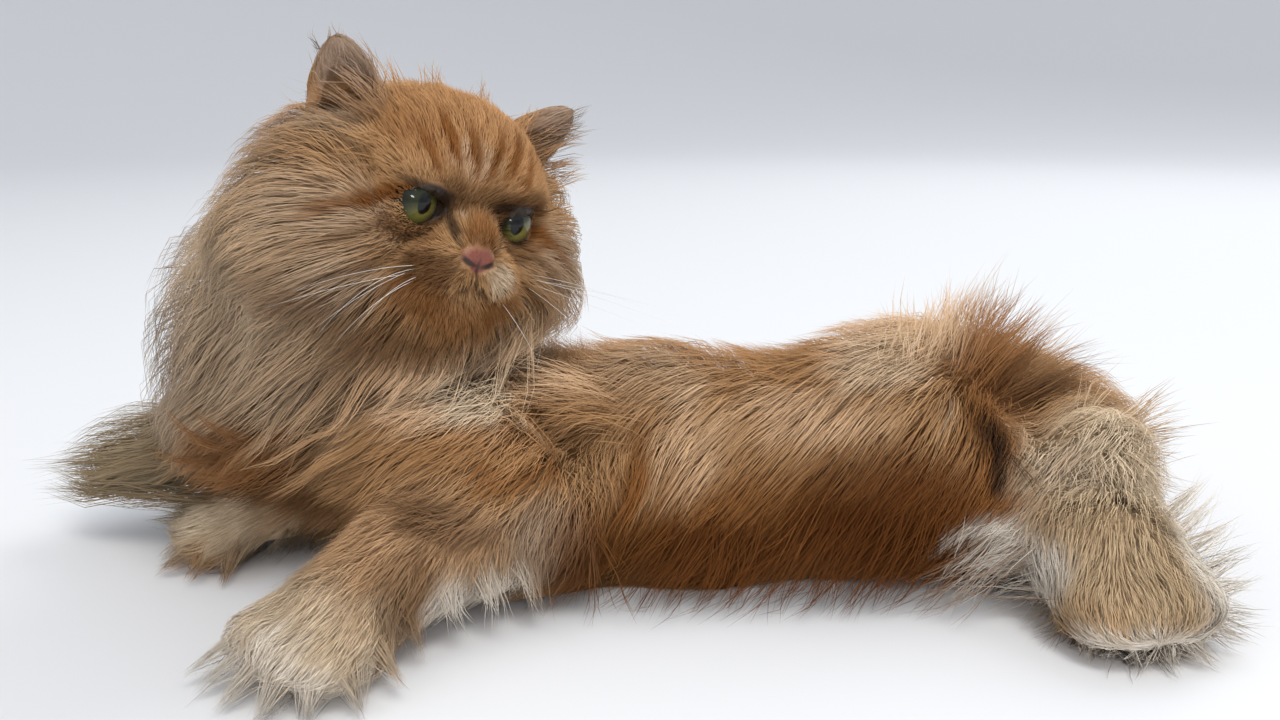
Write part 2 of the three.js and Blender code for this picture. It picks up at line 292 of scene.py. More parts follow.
# Folds, lids, nose and mouth, in the head's frame. They only shape the skin.
lids = {
    "radius": 12.7,
    "opening": (9.4, 9.0, 8.4),
    "openingAhead": 9.5,
    "slant": 12,  # degrees, inner corner down
    "upperLid": {1: 4.7, -1: 0.2},  # height of its straight edge over the middle of the eye
    "shift": {1: -5.2, -1: -1.8},  # both openings are drawn a little to the cat's left
    "corner": [(-6.5, 8.5, -2.5), (-11.4, 9.5, -5.0)],
    "cornerRadii": (3.0, 1.2),
    "openingHeight": -0.4,
    "lidEdge": 2.5,
    "joinToFace": 4,
}

mouthLine = [(0, 50.5, -26.5), (8, 48.2, -30.5), (18, 40.5, -32.5)]
philtrum = [(0, 53, -18.5), (0, 50.6, -27)]


# softness and shape of what is cut in or added on both sides of the head, in the order of work
faceFolds = [
    ("cut", 3, limb((12.5, 38, -6), (8.5, 46, -9.5), 1.6, 1.0, 0)),
    ("cut", 3, limb((8.5, 47, -10), (11, 46, -19), 0.9, 0.5, 0)),
    ("add", 5, egg((9.5, 41, -23.5), (10.5, 9, 7.5), 0)),  # whisker pad
    ("add", 2.5, egg((4.8, 46.6, -17.4), (3.6, 3.9, 3.1), 0)),  # wing of the nose
]
noseAndChin = [
    ("add", 3, egg((0, 46.0, -15.4), (7.2, 4.0, 4.2), 0)),
    ("add", 4, egg((0, 37, -37.5), (10, 9, 6), 0)),
]
nostrilsAndMouth = [
    ("cut", 1, limb((3.2, 52.2, -19.2), (6.0, 50.8, -18.2), 1.2, 0.9, 0)),
    ("cut", 1, limb((5.8, 51.0, -18.0), (9.0, 48.0, -15.4), 0.9, 0.5, 0)),
    *(("cut", 1.6, limb(start, end, 1.1, 0.9, 0)) for start, end in zip(mouthLine, mouthLine[1:])),
]


def worked(skin, steps, inHead):
    for how, softness, shape in steps:
        distance = distanceTo(shape, inHead, False)
        skin = blend(softness, [skin, distance]) if how == "add" else carve(softness, skin, distance)
    return skin


def faceDetail(skin, inHead):
    for side in (1, -1):
        fromEye = (inHead - np.array(eye["at"]) * (side, 1, 1)) * (side, 1, 1)
        skin = blend(lids["joinToFace"], [skin, sizeOf(fromEye) - lids["radius"]])
        level = turned(fromEye, lids["slant"], 0, 2)
        middle = (lids["shift"][side] * side, lids["openingAhead"], lids["openingHeight"])
        opening = eggDistance(level - middle, lids["opening"])
        opening = carve(lids["lidEdge"], opening, lids["upperLid"][side] - level[:, 2])
        corner = distanceTo(limb(*lids["corner"], *lids["cornerRadii"], 0), fromEye, False)
        skin = carve(0.9, skin, blend(2, [opening, corner]))
        skin = worked(skin, faceFolds, inHead * (side, 1, 1))
    skin = worked(skin, noseAndChin, inHead)
    for side in (1, -1):
        skin = worked(skin, nostrilsAndMouth, inHead * (side, 1, 1))
    return worked(skin, [("cut", 1.6, limb(*philtrum, 0.8, 1.0, 0))], inHead)


def wholeField(points, bare, detailed=False):
    points = np.asarray(points)
    inHead = toHead(points).astype(points.dtype)
    field = {}
    for name, (softness, masses) in parts.items():
        where = inHead if name == "head" else points
        shown = [mass for mass in masses if not (bare and mass["depth"] is None)]
        field[name] = blend(softness, [distanceTo(mass, where, bare) for mass in shown])
    ears = [earDistance(inHead, side, bare).astype(points.dtype) for side in (1, -1)]
    looser = 1 if bare else joins["looserCoat"]
    headAndRuff = blend(joins["headToRuff"] * looser, [field["head"], field["ruff"]])
    body = blend(joins["ruffToTrunk"] * looser, [field["ruff"], field["trunk"]])
    others = [field[name] for name in ("leftForeleg", "rightForeleg", "leftHind", "rightHind", "tail")]
    cat = blend(joins["limbs"] * looser, [headAndRuff, body, *others])
    cat = blend(joins["bareEars"] if bare else joins["ears"], [cat, *ears])
    if detailed:
        cat = faceDetail(cat, inHead)
    return np.maximum(cat, (2.0 if bare else 0.0) - points[:, 2])


def skinField(points):
    return wholeField(points, True)


def faceField(points):
    return wholeField(points, True, True)


def coatField(points):
    return wholeField(points, False)


# A field sampled once on a grid, so that thousands of hairs can look it up
def gridOf(field, low, high, cell):
    counts = np.ceil((np.array(high) - low) / cell).astype(int) + 1
    axes = [low[k] + cell * np.arange(counts[k]) for k in range(3)]
    values = np.empty(counts, np.float32)
    for i, x in enumerate(axes[0]):
        y, z = np.meshgrid(axes[1], axes[2], indexing="ij")
        points = np.stack([np.full(y.size, x), y.ravel(), z.ravel()], 1).astype(np.float32)
        values[i] = field(points).reshape(counts[1:])
    slopes = np.stack(np.gradient(values, cell), -1).astype(np.float32)
    return {"low": np.array(low, float), "cell": cell, "values": values, "slopes": slopes}


def lookUp(grid, points):
    place = (points - grid["low"]) / grid["cell"]
    top = np.array(grid["values"].shape) - 2
    corner = np.clip(np.floor(place).astype(int), 0, top)
    part = np.clip(place - corner, 0, 1)
    value = np.zeros(len(points))
    slope = np.zeros((len(points), 3))
    for i in (0, 1):
        for j in (0, 1):
            for k in (0, 1):
                weight = (
                    (part[:, 0] if i else 1 - part[:, 0])
                    * (part[:, 1] if j else 1 - part[:, 1])
                    * (part[:, 2] if k else 1 - part[:, 2])
                )
                at = (corner[:, 0] + i, corner[:, 1] + j, corner[:, 2] + k)
                value += weight * grid["values"][at]
                slope += weight[:, None] * grid["slopes"][at]
    return value, slope


# The closed surface of a grid: a vertex in each cell that it crosses, and a quad for each crossed edge
def netOf(grid):
    values, low, cell = grid["values"], grid["low"], grid["cell"]
    inside = values < 0
    shape = np.array(values.shape) - 1
    count = np.zeros(shape, int)
    for i in (0, 1):
        for j in (0, 1):
            for k in (0, 1):
                count += inside[i : i + shape[0], j : j + shape[1], k : k + shape[2]]
    cells = np.argwhere((count > 0) & (count < 8))
    total = np.zeros((len(cells), 3))
    hits = np.zeros(len(cells))
    for axis in range(3):
        u, v = (axis + 1) % 3, (axis + 2) % 3
        for a in (0, 1):
            for b in (0, 1):
                start = cells.copy()
                start[:, u] += a
                start[:, v] += b
                end = start.copy()
                end[:, axis] += 1
                first, last = values[tuple(start.T)], values[tuple(end.T)]
                crossed = (first < 0) != (last < 0)
                share = np.where(crossed, first / np.where(crossed, first - last, 1), 0)
                point = start.astype(float)
                point[:, axis] += share
                total += np.where(crossed[:, None], point, 0)
                hits += crossed
    vertices = low + cell * total / hits[:, None]
    index = np.full(shape, -1)
    index[tuple(cells.T)] = np.arange(len(cells))
    quads = []
    for axis in range(3):
        u, v = (axis + 1) % 3, (axis + 2) % 3
        change = np.diff(inside.astype(np.int8), axis=axis) != 0
        edges = np.argwhere(change)
        within = (edges[:, u] > 0) & (edges[:, v] > 0) & (edges[:, u] < shape[u]) & (edges[:, v] < shape[v])
        edges = edges[within]
        ring = []
        for a, b in ((0, 0), (-1, 0), (-1, -1), (0, -1)):
            at = edges.copy()
            at[:, u] += a
            at[:, v] += b
            ring.append(index[tuple(at.T)])
        ring = np.stack(ring, 1)
        outwards = inside[tuple(edges.T)]
        ring[~outwards] = ring[~outwards][:, ::-1]
        quads.append(ring)
    return vertices, np.concatenate(quads)


def settle(points, field, rounds=3, longest=2.5):
    step = 0.25
    for _ in range(rounds):
        here = field(points)
        slope = np.stack([(field(points + step * axis) - here) / step for axis in np.eye(3)], 1)
        move = -(here / np.maximum((slope**2).sum(1), 0.1))[:, None] * slope
        size = np.linalg.norm(move, axis=1, keepdims=True)
        points = points + move * np.minimum(1, longest / np.maximum(size, 1e-9))
    return points


def meshOf(name, vertices, faces):
    mesh = bpy.data.meshes.new(name)
    faces = np.asarray(faces)
    mesh.vertices.add(len(vertices))
    mesh.vertices.foreach_set("co", (np.asarray(vertices) * metre).astype(np.float32).ravel())
    mesh.loops.add(faces.size)
    mesh.loops.foreach_set("vertex_index", faces.astype(np.int32).ravel())
    mesh.polygons.add(len(faces))
    mesh.polygons.foreach_set("loop_start", np.arange(0, faces.size, faces.shape[1], dtype=np.int32))
    mesh.update(calc_edges=True)
    mesh.polygons.foreach_set("use_smooth", np.ones(len(faces), bool))
    return mesh


def pieceOf(name, mesh, material):
    piece = bpy.data.objects.new(name, mesh)
    bpy.context.scene.collection.objects.link(piece)
    mesh.materials.append(material)
    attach(piece, "root")
    return piece


def placesOf(mesh):
    flat = np.empty(len(mesh.vertices) * 3, np.float32)
    mesh.vertices.foreach_get("co", flat)
    return flat.reshape(-1, 3) / metre


def setAttribute(mesh, name, values):
    kind, key = ("FLOAT_VECTOR", "vector") if values.ndim == 2 else ("FLOAT", "value")
    mesh.attributes.new(name, kind, "POINT").data.foreach_set(key, values.astype(np.float32).ravel())


# Markings of coat and skin, with painted shade and painted light among them: soft patches, each at a place
# in millimetres, with half sizes, turn and colour.
# head patches are in the head's frame and come in pairs where they are off its middle.
colours = {
    "base": (0.44, 0.25, 0.115),
    "beige": (0.48, 0.355, 0.235),
    "paleBeige": (0.25, 0.195, 0.12),
    "peach": (0.72, 0.48, 0.29),
    "orange": (0.45, 0.235, 0.10),
    "rust": (0.23, 0.09, 0.024),
    # rust fur darkened with painted shade, for low on the flank
    "lowRustShade": (0.135, 0.046, 0.011),
    "brown": (0.115, 0.052, 0.02),
    "dark": (0.025, 0.015, 0.01),
    "cream": (0.70, 0.56, 0.39),
    "yellowCream": (0.58, 0.43, 0.265),
    "white": (0.88, 0.80, 0.68),
    "grey": (0.30, 0.23, 0.17),
    "greyTan": (0.50, 0.375, 0.26),
    "nose": (0.235, 0.072, 0.05),
    "inEar": (0.36, 0.27, 0.21),
}
bodyPatches = [
    ((-180, -20, 140), (90, 90, 80), 0, "beige", 0.9),
    ((-218, -20, 116), (28, 60, 50), 0, "grey", 0.6),
    ((-262, 12, 40), (90, 70, 48), 0, "paleBeige", 0.9),
    ((-128, -66, 172), (16, 30, 12), 0, "orange", 0.5),
    # painted shade in the hollow under the ruff
    ((-118, -84, 112), (20, 22, 9), 0, "brown", 0.45),
    ((-156, -74, 70), (26, 26, 8), 20, "brown", 0.35),
    ((-184, -74, 68), (30, 28, 22), 0, "rust", 0.75),
    # brown fur of the far arm, darkened further as painted shadow under the tuft above it
    ((-172, -60, 44), (46, 36, 13), 0, "brown", 0.85),
    ((-64, -66, 103), (60, 46, 18), 0, "peach", 0.95),
    ((-92, -112, 46), (44, 30, 22), 0, "peach", 0.35),
    ((-64, -84, 78), (46, 30, 12), 0, "orange", 0.75),
    ((-40, -82, 68), (34, 26, 6), 0, "rust", 0.7),
    ((-78, -112, 52), (34, 22, 11), -30, "brown", 0.6),
    ((-42, -92, 38), (24, 22, 20), 0, "grey", 0.7),
    ((-66, -118, 14), (26, 22, 18), 0, "white", 0.95),
    ((-134, -152, 16), (42, 40, 30), 0, "cream", 0.9),
    ((-94, -138, 30), (12, 18, 16), 0, "brown", 0.5),
    # white paw, its strength held back so the paw reads darker: painted shade
    ((-140, -172, 8), (44, 34, 17), 0, "white", 0.75),
    ((-170, -150, 8), (22, 20, 16), 0, "white", 0.9),
    ((-200, -34, 18), (36, 24, 16), 0, "cream", 0.9),
    ((30, -10, 110), (130, 60, 24), 0, "orange", 0.7),
    ((80, -84, 32), (110, 50, 30), 0, "rust", 0.9),
    # these three patches are rust fur darkened with painted shade, low on the flank and thigh
    ((-16, -84, 28), (30, 30, 22), 0, "lowRustShade", 0.55),
    ((122, -80, 44), (50, 40, 30), 0, "lowRustShade", 0.9),
    ((60, -88, 20), (96, 28, 20), 0, "lowRustShade", 0.9),
    ((-4, -78, 40), (14, 26, 34), 0, "rust", 0.6),
    ((24, -62, 70), (24, 26, 16), 0, "peach", 0.6),
    ((68, -56, 82), (46, 30, 14), 0, "peach", 0.7),
    ((-2, -66, 56), (7, 30, 40), 0, "rust", 0.75),
    ((128, -20, 116), (40, 50, 18), 0, "peach", 0.85),
    ((40, -46, 92), (50, 20, 12), 0, "peach", 0.4),
    ((4, -34, 103), (46, 36, 17), 0, "cream", 0.45),
    ((-50, -60, 108), (40, 28, 18), 0, "peach", 0.95),
    # pale hair, made lighter still as painted light where the head and ruff shade it
    ((-60, -70, 104), (28, 20, 15), 0, "cream", 0.85),
    ((143, -62, 90), (8, 12, 7), 0, "grey", 0.9),
    ((170, -34, 104), (22, 40, 24), 0, "rust", 0.75),
    ((190, -36, 96), (26, 32, 11), 0, "brown", 0.5),
    ((146, -20, 136), (46, 50, 14), 0, "cream", 0.5),
    ((116, -36, 112), (34, 30, 15), 0, "cream", 0.5),
    ((164, -62, 70), (17, 24, 34), 0, "rust", 0.95),
    ((160, -68, 76), (7, 20, 20), 0, "dark", 0.9),
    ((205, -40, 92), (32, 26, 7), 0, "brown", 0.75),
    ((218, -64, 62), (44, 48, 26), 0, "cream", 0.97),
    ((196, -72, 64), (12, 20, 30), 20, "greyTan", 0.9),
    ((206, -112, 34), (40, 40, 34), 0, "yellowCream", 0.9),
    ((246, -106, 34), (22, 40, 34), 0, "white", 0.95),
    ((170, -90, 24), (26, 26, 22), 0, "white", 0.95),
    ((208, -143, 8), (44, 22, 13), 0, "white", 0.9),
]
# place, half sizes, turn, colour, strength; the last word says whether it is on both sides of the head
headPatches = [
    ((0, 22, 34), (46, 28, 20), 0, "orange", 0.7, "both"),
    ((4, 36, 22), (12, 12, 8), 0, "greyTan", 0.45, "one"),
    ((30, 26, 28), (12, 14, 10), 0, "rust", 0.3, "one"),
    ((50, 8, -14), (28, 26, 20), 0, "greyTan", 0.8, "both"),
    ((54, -4, -42), (40, 34, 28), 0, "beige", 0.8, "both"),
    ((48, -6, 20), (14, 20, 12), 0, "greyTan", 0.7, "both"),
    ((66, -14, 18), (12, 16, 10), 0, "orange", 0.6, "both"),
    ((27, 36, -11), (13, 10, 6), 0, "orange", 0.6, "both"),
    ((9, 40, 6), (11, 9, 7), -20, "brown", 0.6, "both"),
    # painted shadow round the far eye, under its brow
    ((-26, 34, 4), (17, 11, 11), 12, "brown", 0.8, "one"),
    ((-38, 24, -4), (10, 12, 8), 12, "rust", 0.6, "one"),
    ((0, 47, -6), (9, 7, 8), 0, "rust", 0.8, "one"),
    ((0, 50, -9), (7, 6, 3.6), 0, "brown", 0.35, "one"),
    ((16, 43, -25), (14, 12, 9), 0, "brown", 0.9, "one"),
    ((27, 34, -12), (13, 10, 5), 0, "brown", 0.5, "both"),
    ((-18, 40, -22), (12, 10, 8), 0, "orange", 0.6, "one"),
    ((-12, 44, -24), (9, 9, 8), 0, "cream", 0.9, "one"),
    ((16, 36, -36), (20, 14, 9), 0, "rust", 0.75, "both"),
    ((46, 26, -36), (16, 18, 12), 0, "greyTan", 0.6, "one"),
    ((64, 8, -42), (20, 22, 10), 0, "brown", 0.4, "one"),
    ((54, 28, -50), (18, 16, 9), 0, "brown", 0.6, "one"),
    ((64, -10, 4), (16, 22, 18), 0, "grey", 0.4, "one"),
    ((0, 38, -44), (20, 14, 10), 0, "rust", 0.7, "one"),
    # painted shade under the chin, where the head meets the ruff
    ((14, 24, -56), (30, 18, 9), 0, "brown", 0.65, "both"),
    ((9.5, 41, -0.5), (2.2, 4, 2.4), 0, "greyTan", 0.6, "one"),
    ((56, 6, 44), (18, 12, 17), 0, "inEar", 0.8, "both"),
    ((0, 49.5, -19.2), (3.6, 6, 3.4), 0, "nose", 1, "one"),
    ((0, 49.5, -16.0), (7.8, 6, 4.2), 0, "nose", 1, "one"),
]
# start, end, half width, colour, strength: stripes that lie along the coat, on both sides of the head
headStripes = [
    ((20, 26, 39), (12, 40, 18), 2.5, "rust", 1.0),
    ((28, 28, 30), (21, 40, 14), 2.1, "rust", 0.85),
    ((8, 32, 35), (3, 42, 16), 2.3, "rust", 0.95),
    ((26, 35, 5), (40, 31, 0), 3.4, "rust", 1.0),
    ((36, 32, 2), (52, 29, -6), 3.8, "rust", 1.0),
    ((50, 30, -5), (66, 24, -15), 3.2, "rust", 0.75),
    ((36, 32, -12), (62, 22, -26), 2.4, "brown", 0.5),
    ((30, 38, -24), (60, 22, -38), 2.8, "brown", 0.6),
    # black upper lid edge, thickened with painted shadow from the brow
    ((8, 38, 5), (33, 31, 7.5), 2.3, "dark", 0.85),
    ((12, 38, -1), (8, 46, -13), 2.3, "dark", 0.85),
    # painted shade in the nostrils and in the groove below the nose
    ((2.4, 52.4, -20), (8.2, 49.4, -17), 1.2, "dark", 0.95),
    ((0, 53, -17.5), (0, 50.6, -27), 0.9, "dark", 0.75),
    ((0, 50.6, -27), (8, 48.2, -30.5), 1.3, "dark", 0.85),
    ((8, 48.2, -30.5), (18, 40.5, -32.5), 1.3, "dark", 0.7),
]
eyeRim = {"at": (23.9, 33, -0.3), "size": (10.5, 10, 8.8), "colour": "dark"}


def nodeIn(tree, kind, **settings):
    node = tree.nodes.new(kind)
    for name, value in settings.items():
        setattr(node, name, value)
    return node


def link(tree, source, target):
    tree.links.new(source, target)


# A node with its inputs, each a value or another node's output
def fed(tree, kind, inputs, **settings):
    node = nodeIn(tree, kind, **settings)
    for socket, value in inputs.items():
        if isinstance(value, bpy.types.NodeSocket):
            link(tree, value, node.inputs[socket])
        else:
            node.inputs[socket].default_value = value
    return node


def mixColours(tree, share, first, second, how="MIX"):
    inputs = {0: share, 6: first, 7: second}
    return fed(tree, "ShaderNodeMix", inputs, data_type="RGBA", blend_type=how).outputs[2]


def smoothRange(tree, value, limits):
    inputs = {"Value": value, **limits}
    return fed(tree, "ShaderNodeMapRange", inputs, interpolation_type="SMOOTHSTEP").outputs[0]


def patchMask(tree, place, at, size, turn, strength, softness=0.35):
    blob = nodeIn(tree, "ShaderNodeTexGradient", gradient_type="SPHERICAL")
    blob.texture_mapping.vector_type = "TEXTURE"
    blob.texture_mapping.translation = at
    blob.texture_mapping.rotation = turn
    blob.texture_mapping.scale = [2 * part for part in size]
    link(tree, place, blob.inputs["Vector"])
    edge = {"From Min": 0.5 - softness / 2, "From Max": 0.5 + softness / 2, "To Max": strength}
    return smoothRange(tree, blob.outputs["Fac"], edge)


def stripeFrame(start, end, width):
    middle = (start + end) / 2
    along = unit(end - start)
    outwards = unit(middle - middle @ along * along)
    turn = Matrix(np.stack([along, outwards, np.cross(along, outwards)], 1).tolist()).to_euler("XYZ")
    return middle, (np.linalg.norm(end - start) / 2, 9 + width, width), turn


def addSockets(tree, way, **kinds):
    for name, kind in kinds.items():
        tree.interface.new_socket(name.replace("_", " "), in_out=way, socket_type="NodeSocket" + kind)


def markingsAndShadeGroup():
    tree = bpy.data.node_groups.new("catMarkingsAndShade", "ShaderNodeTree")
    addSockets(tree, "INPUT", Place="Vector", Along="Float", Tone="Float")
    addSockets(tree, "OUTPUT", Colour="Color", Wet="Float")
    given = nodeIn(tree, "NodeGroupInput")
    inPlace = {0: given.outputs["Place"], "Scale": 1 / metre}
    place = fed(tree, "ShaderNodeVectorMath", inPlace, operation="SCALE")

    def wavered(source, scale, reach):
        noise = fed(tree, "ShaderNodeTexNoise", {"Scale": scale, "Detail": 2, "Vector": place.outputs[0]})
        shifted = {0: noise.outputs["Color"], 1: (reach,) * 3, 2: source}
        shift = fed(tree, "ShaderNodeVectorMath", shifted, operation="MULTIPLY_ADD")
        centred = {0: shift.outputs[0], 1: (reach / 2,) * 3}
        return fed(tree, "ShaderNodeVectorMath", centred, operation="SUBTRACT").outputs[0]

    turn = {"Location": headFrame.translation, "Rotation": headFrame.to_euler("XYZ")}
    inHead = fed(tree, "ShaderNodeMapping", {**turn, "Vector": place.outputs[0]}, vector_type="TEXTURE")
    bodyPlace = wavered(place.outputs[0], 0.035, 34)
    headPlace = wavered(inHead.outputs[0], 0.12, 7)
    finePlace = wavered(inHead.outputs[0], 0.15, 3.5)
    colour = (*colours["base"], 1)
    for at, size, turn, name, strength in bodyPatches:
        mask = patchMask(tree, bodyPlace, at, size, (0, 0, math.radians(turn)), strength)
        colour = mixColours(tree, mask, colour, (*colours[name], 1))
    for at, size, turn, name, strength, sides in headPatches:
        for side in (1, -1) if sides == "both" else (1,):
            centre = (at[0] * side, at[1], at[2])
            source = inHead.outputs[0] if name == "nose" else headPlace
            mask = patchMask(tree, source, centre, size, (0, math.radians(turn * side), 0), strength)
            colour = mixColours(tree, mask, colour, (*colours[name], 1))
    wet = mask
    for start, end, width, name, strength in headStripes:
        for side in (1, -1) if start[0] or end[0] else (1,):
            first, last = (np.multiply(at, (side, 1, 1)) for at in (start, end))
            centre, size, turn = stripeFrame(first, last, width)
            source = inHead.outputs[0] if name == "dark" else finePlace
            mask = patchMask(tree, source, centre, size, turn, strength, 0.5)
            colour = mixColours(tree, mask, colour, (*colours[name], 1))
    for side in (1, -1):
        centre = (eyeRim["at"][0] * side + lids["shift"][side], *eyeRim["at"][1:])
        mask = patchMask(tree, inHead.outputs[0], centre, eyeRim["size"], (0, 0, 0), 0.95, 0.14)
        colour = mixColours(tree, mask, colour, (*colours[eyeRim["colour"]], 1))
        wet = fed(tree, "ShaderNodeMath", {0: wet, 1: mask}, operation="MAXIMUM").outputs[0]
    # painted shade: each hair is darker towards its root, where it lies deep in the coat, and a little
    # lighter towards its tip
    fade = smoothRange(tree, given.outputs["Along"], {"From Max": 0.75})
    shade = mixColours(tree, fade, (0.8, 0.72, 0.64, 1), (1.08, 1.08, 1.08, 1))
    colour = mixColours(tree, 1, colour, shade, "MULTIPLY")
    tone = mixColours(tree, given.outputs["Tone"], (0.7, 0.66, 0.62, 1), (1.25, 1.27, 1.31, 1))
    colour = mixColours(tree, 1, colour, tone, "MULTIPLY")
    fed(tree, "NodeGroupOutput", {"Colour": colour, "Wet": wet})
    return tree


markingsAndShade = markingsAndShadeGroup()


def newMaterial(name, **sockets):
    material = bpy.data.materials.new(name)
    material.use_nodes = True
    shader = material.node_tree.nodes["Principled BSDF"]
    for socket, value in sockets.items():
        shader.inputs[socket.replace("_", " ")].default_value = value
    return material, material.node_tree, shader


def attributeOf(tree, name, output):
    return nodeIn(tree, "ShaderNodeAttribute", attribute_name=name).outputs[output]


def objectPlace(tree):
    return nodeIn(tree, "ShaderNodeTexCoord").outputs["Object"]


def noiseOn(tree, place, scale, **others):
    return fed(tree, "ShaderNodeTexNoise", {"Vector": place, "Scale": scale, **others}).outputs["Fac"]


def bumpOf(tree, height, strength, distance):
    inputs = {"Height": height, "Strength": strength, "Distance": distance}
    return fed(tree, "ShaderNodeBump", inputs).outputs["Normal"]


def coatMaterial():
    material, tree, shader = newMaterial("catCoat", Roughness=0.7, Specular_IOR_Level=0.06)
    group = fed(tree, "ShaderNodeGroup", {}, node_tree=markingsAndShade)
    for socket, name, output in (
        ("Place", "markPlace", "Vector"),
        ("Along", "alongHair", "Fac"),
        ("Tone", "hairTone", "Fac"),
    ):
        link(tree, attributeOf(tree, name, output), group.inputs[socket])
    link(tree, group.outputs["Colour"], shader.inputs["Base Color"])
    return material


def skinMaterial():
    material, tree, shader = newMaterial("catSkin", Specular_IOR_Level=0.4)
    group = nodeIn(tree, "ShaderNodeGroup", node_tree=markingsAndShade)
    link(tree, attributeOf(tree, "markPlace", "Vector"), group.inputs["Place"])
    # painted shade under the coat: the skin takes the darker colour of a hair near its root
    group.inputs["Along"].default_value = 0.35
    grain = noiseOn(tree, objectPlace(tree), 900, Detail=3)
    link(tree, grain, group.inputs["Tone"])
    link(tree, group.outputs["Colour"], shader.inputs["Base Color"])
    wetness = {"Value": group.outputs["Wet"], "To Min": 0.65, "To Max": 0.3}
    roughness = fed(tree, "ShaderNodeMapRange", wetness)
    link(tree, roughness.outputs[0], shader.inputs["Roughness"])
    link(tree, bumpOf(tree, grain, 0.35, 0.0006), shader.inputs["Normal"])
    return material


# Skin: one closed surface from the tail to the ears, made finer over the face
skin = {
    "low": (-236, -186, -4),
    "high": (268, 172, 256),
    "cell": 2.6,
    "faceCuts": 3,
    "faceLow": (-40, 12, -44),
    "faceHigh": (40, 70, 26),
    "relaxRounds": 5,
}


def inFace(points, extra=0.0):
    local = toHead(points)
    return ((local > np.array(skin["faceLow"]) - extra) & (local < np.array(skin["faceHigh"]) + extra)).all(1)


def makeSkin():
    vertices, quads = netOf(gridOf(skinField, skin["low"], skin["high"], skin["cell"]))
    vertices = settle(vertices, skinField, 2)
    mesh = meshOf("skin", vertices, quads)
    made = bmesh.new()
    made.from_mesh(mesh)
    made.verts.ensure_lookup_table()
    face = inFace(vertices)
    edges = [edge for edge in made.edges if face[edge.verts[0].index] and face[edge.verts[1].index]]
    bmesh.ops.subdivide_edges(made, edges=edges, cuts=skin["faceCuts"], use_grid_fill=True)
    bmesh.ops.triangulate(made, faces=[polygon for polygon in made.faces if len(polygon.verts) > 4])
    made.to_mesh(mesh)
    made.free()
    points = placesOf(mesh).astype(float)
    fine = np.nonzero(inFace(points, 1.0))[0]
    ends = np.empty(len(mesh.edges) * 2, np.int32)
    mesh.edges.foreach_get("vertices", ends)
    ends = ends.reshape(-1, 2)
    degree = np.bincount(ends.ravel(), minlength=len(points))
    for _ in range(skin["relaxRounds"]):
        around = np.stack(
            [
                np.bincount(ends[:, 0], points[ends[:, 1], k], len(points))
                + np.bincount(ends[:, 1], points[ends[:, 0], k], len(points))
                for k in range(3)
            ],
            1,
        )
        middle = around / degree[:, None]
        points[fine] += 0.5 * (middle[fine] - points[fine])
        points[fine] = settle(points[fine], faceField, 2)
    mesh.vertices.foreach_set("co", (points * metre).astype(np.float32).ravel())
    mesh.polygons.foreach_set("use_smooth", np.ones(len(mesh.polygons), bool))
    mesh.update()
    setAttribute(mesh, "markPlace", points * metre)
    return mesh


skinMesh = makeSkin()
skinPiece = pieceOf("skin", skinMesh, skinMaterial())
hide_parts(*[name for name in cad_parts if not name.startswith("eye")])
print("skin: vertices", len(skinMesh.vertices), "faces", len(skinMesh.polygons))

# Eyes: the white is hidden, so each ball shows its iris up to a dark ring
eyeball = {
    "rings": 48,
    "spokes": 64,
    "corneaReach": 7.6,
    "corneaRise": 0.9,
    "pupil": (3.0, 4.5),  # half width and half height
    "iris": 10.4,
    "gaze": {1: -5, -1: 6},  # degrees to the cat's right
    "lidShadow": {"way": (0.5, 0, 1), "from": -6.5, "to": 2.5, "colour": (0.08, 0.11, 0.11, 1)},
    "colours": {
        "pupil": (0.003, 0.003, 0.003, 1),
        "inner": (0.19, 0.18, 0.045, 1),
        "outer": (0.10, 0.10, 0.028, 1),
        "rim": (0.012, 0.012, 0.008, 1),
        "white": (0.10, 0.07, 0.05, 1),
    },
}


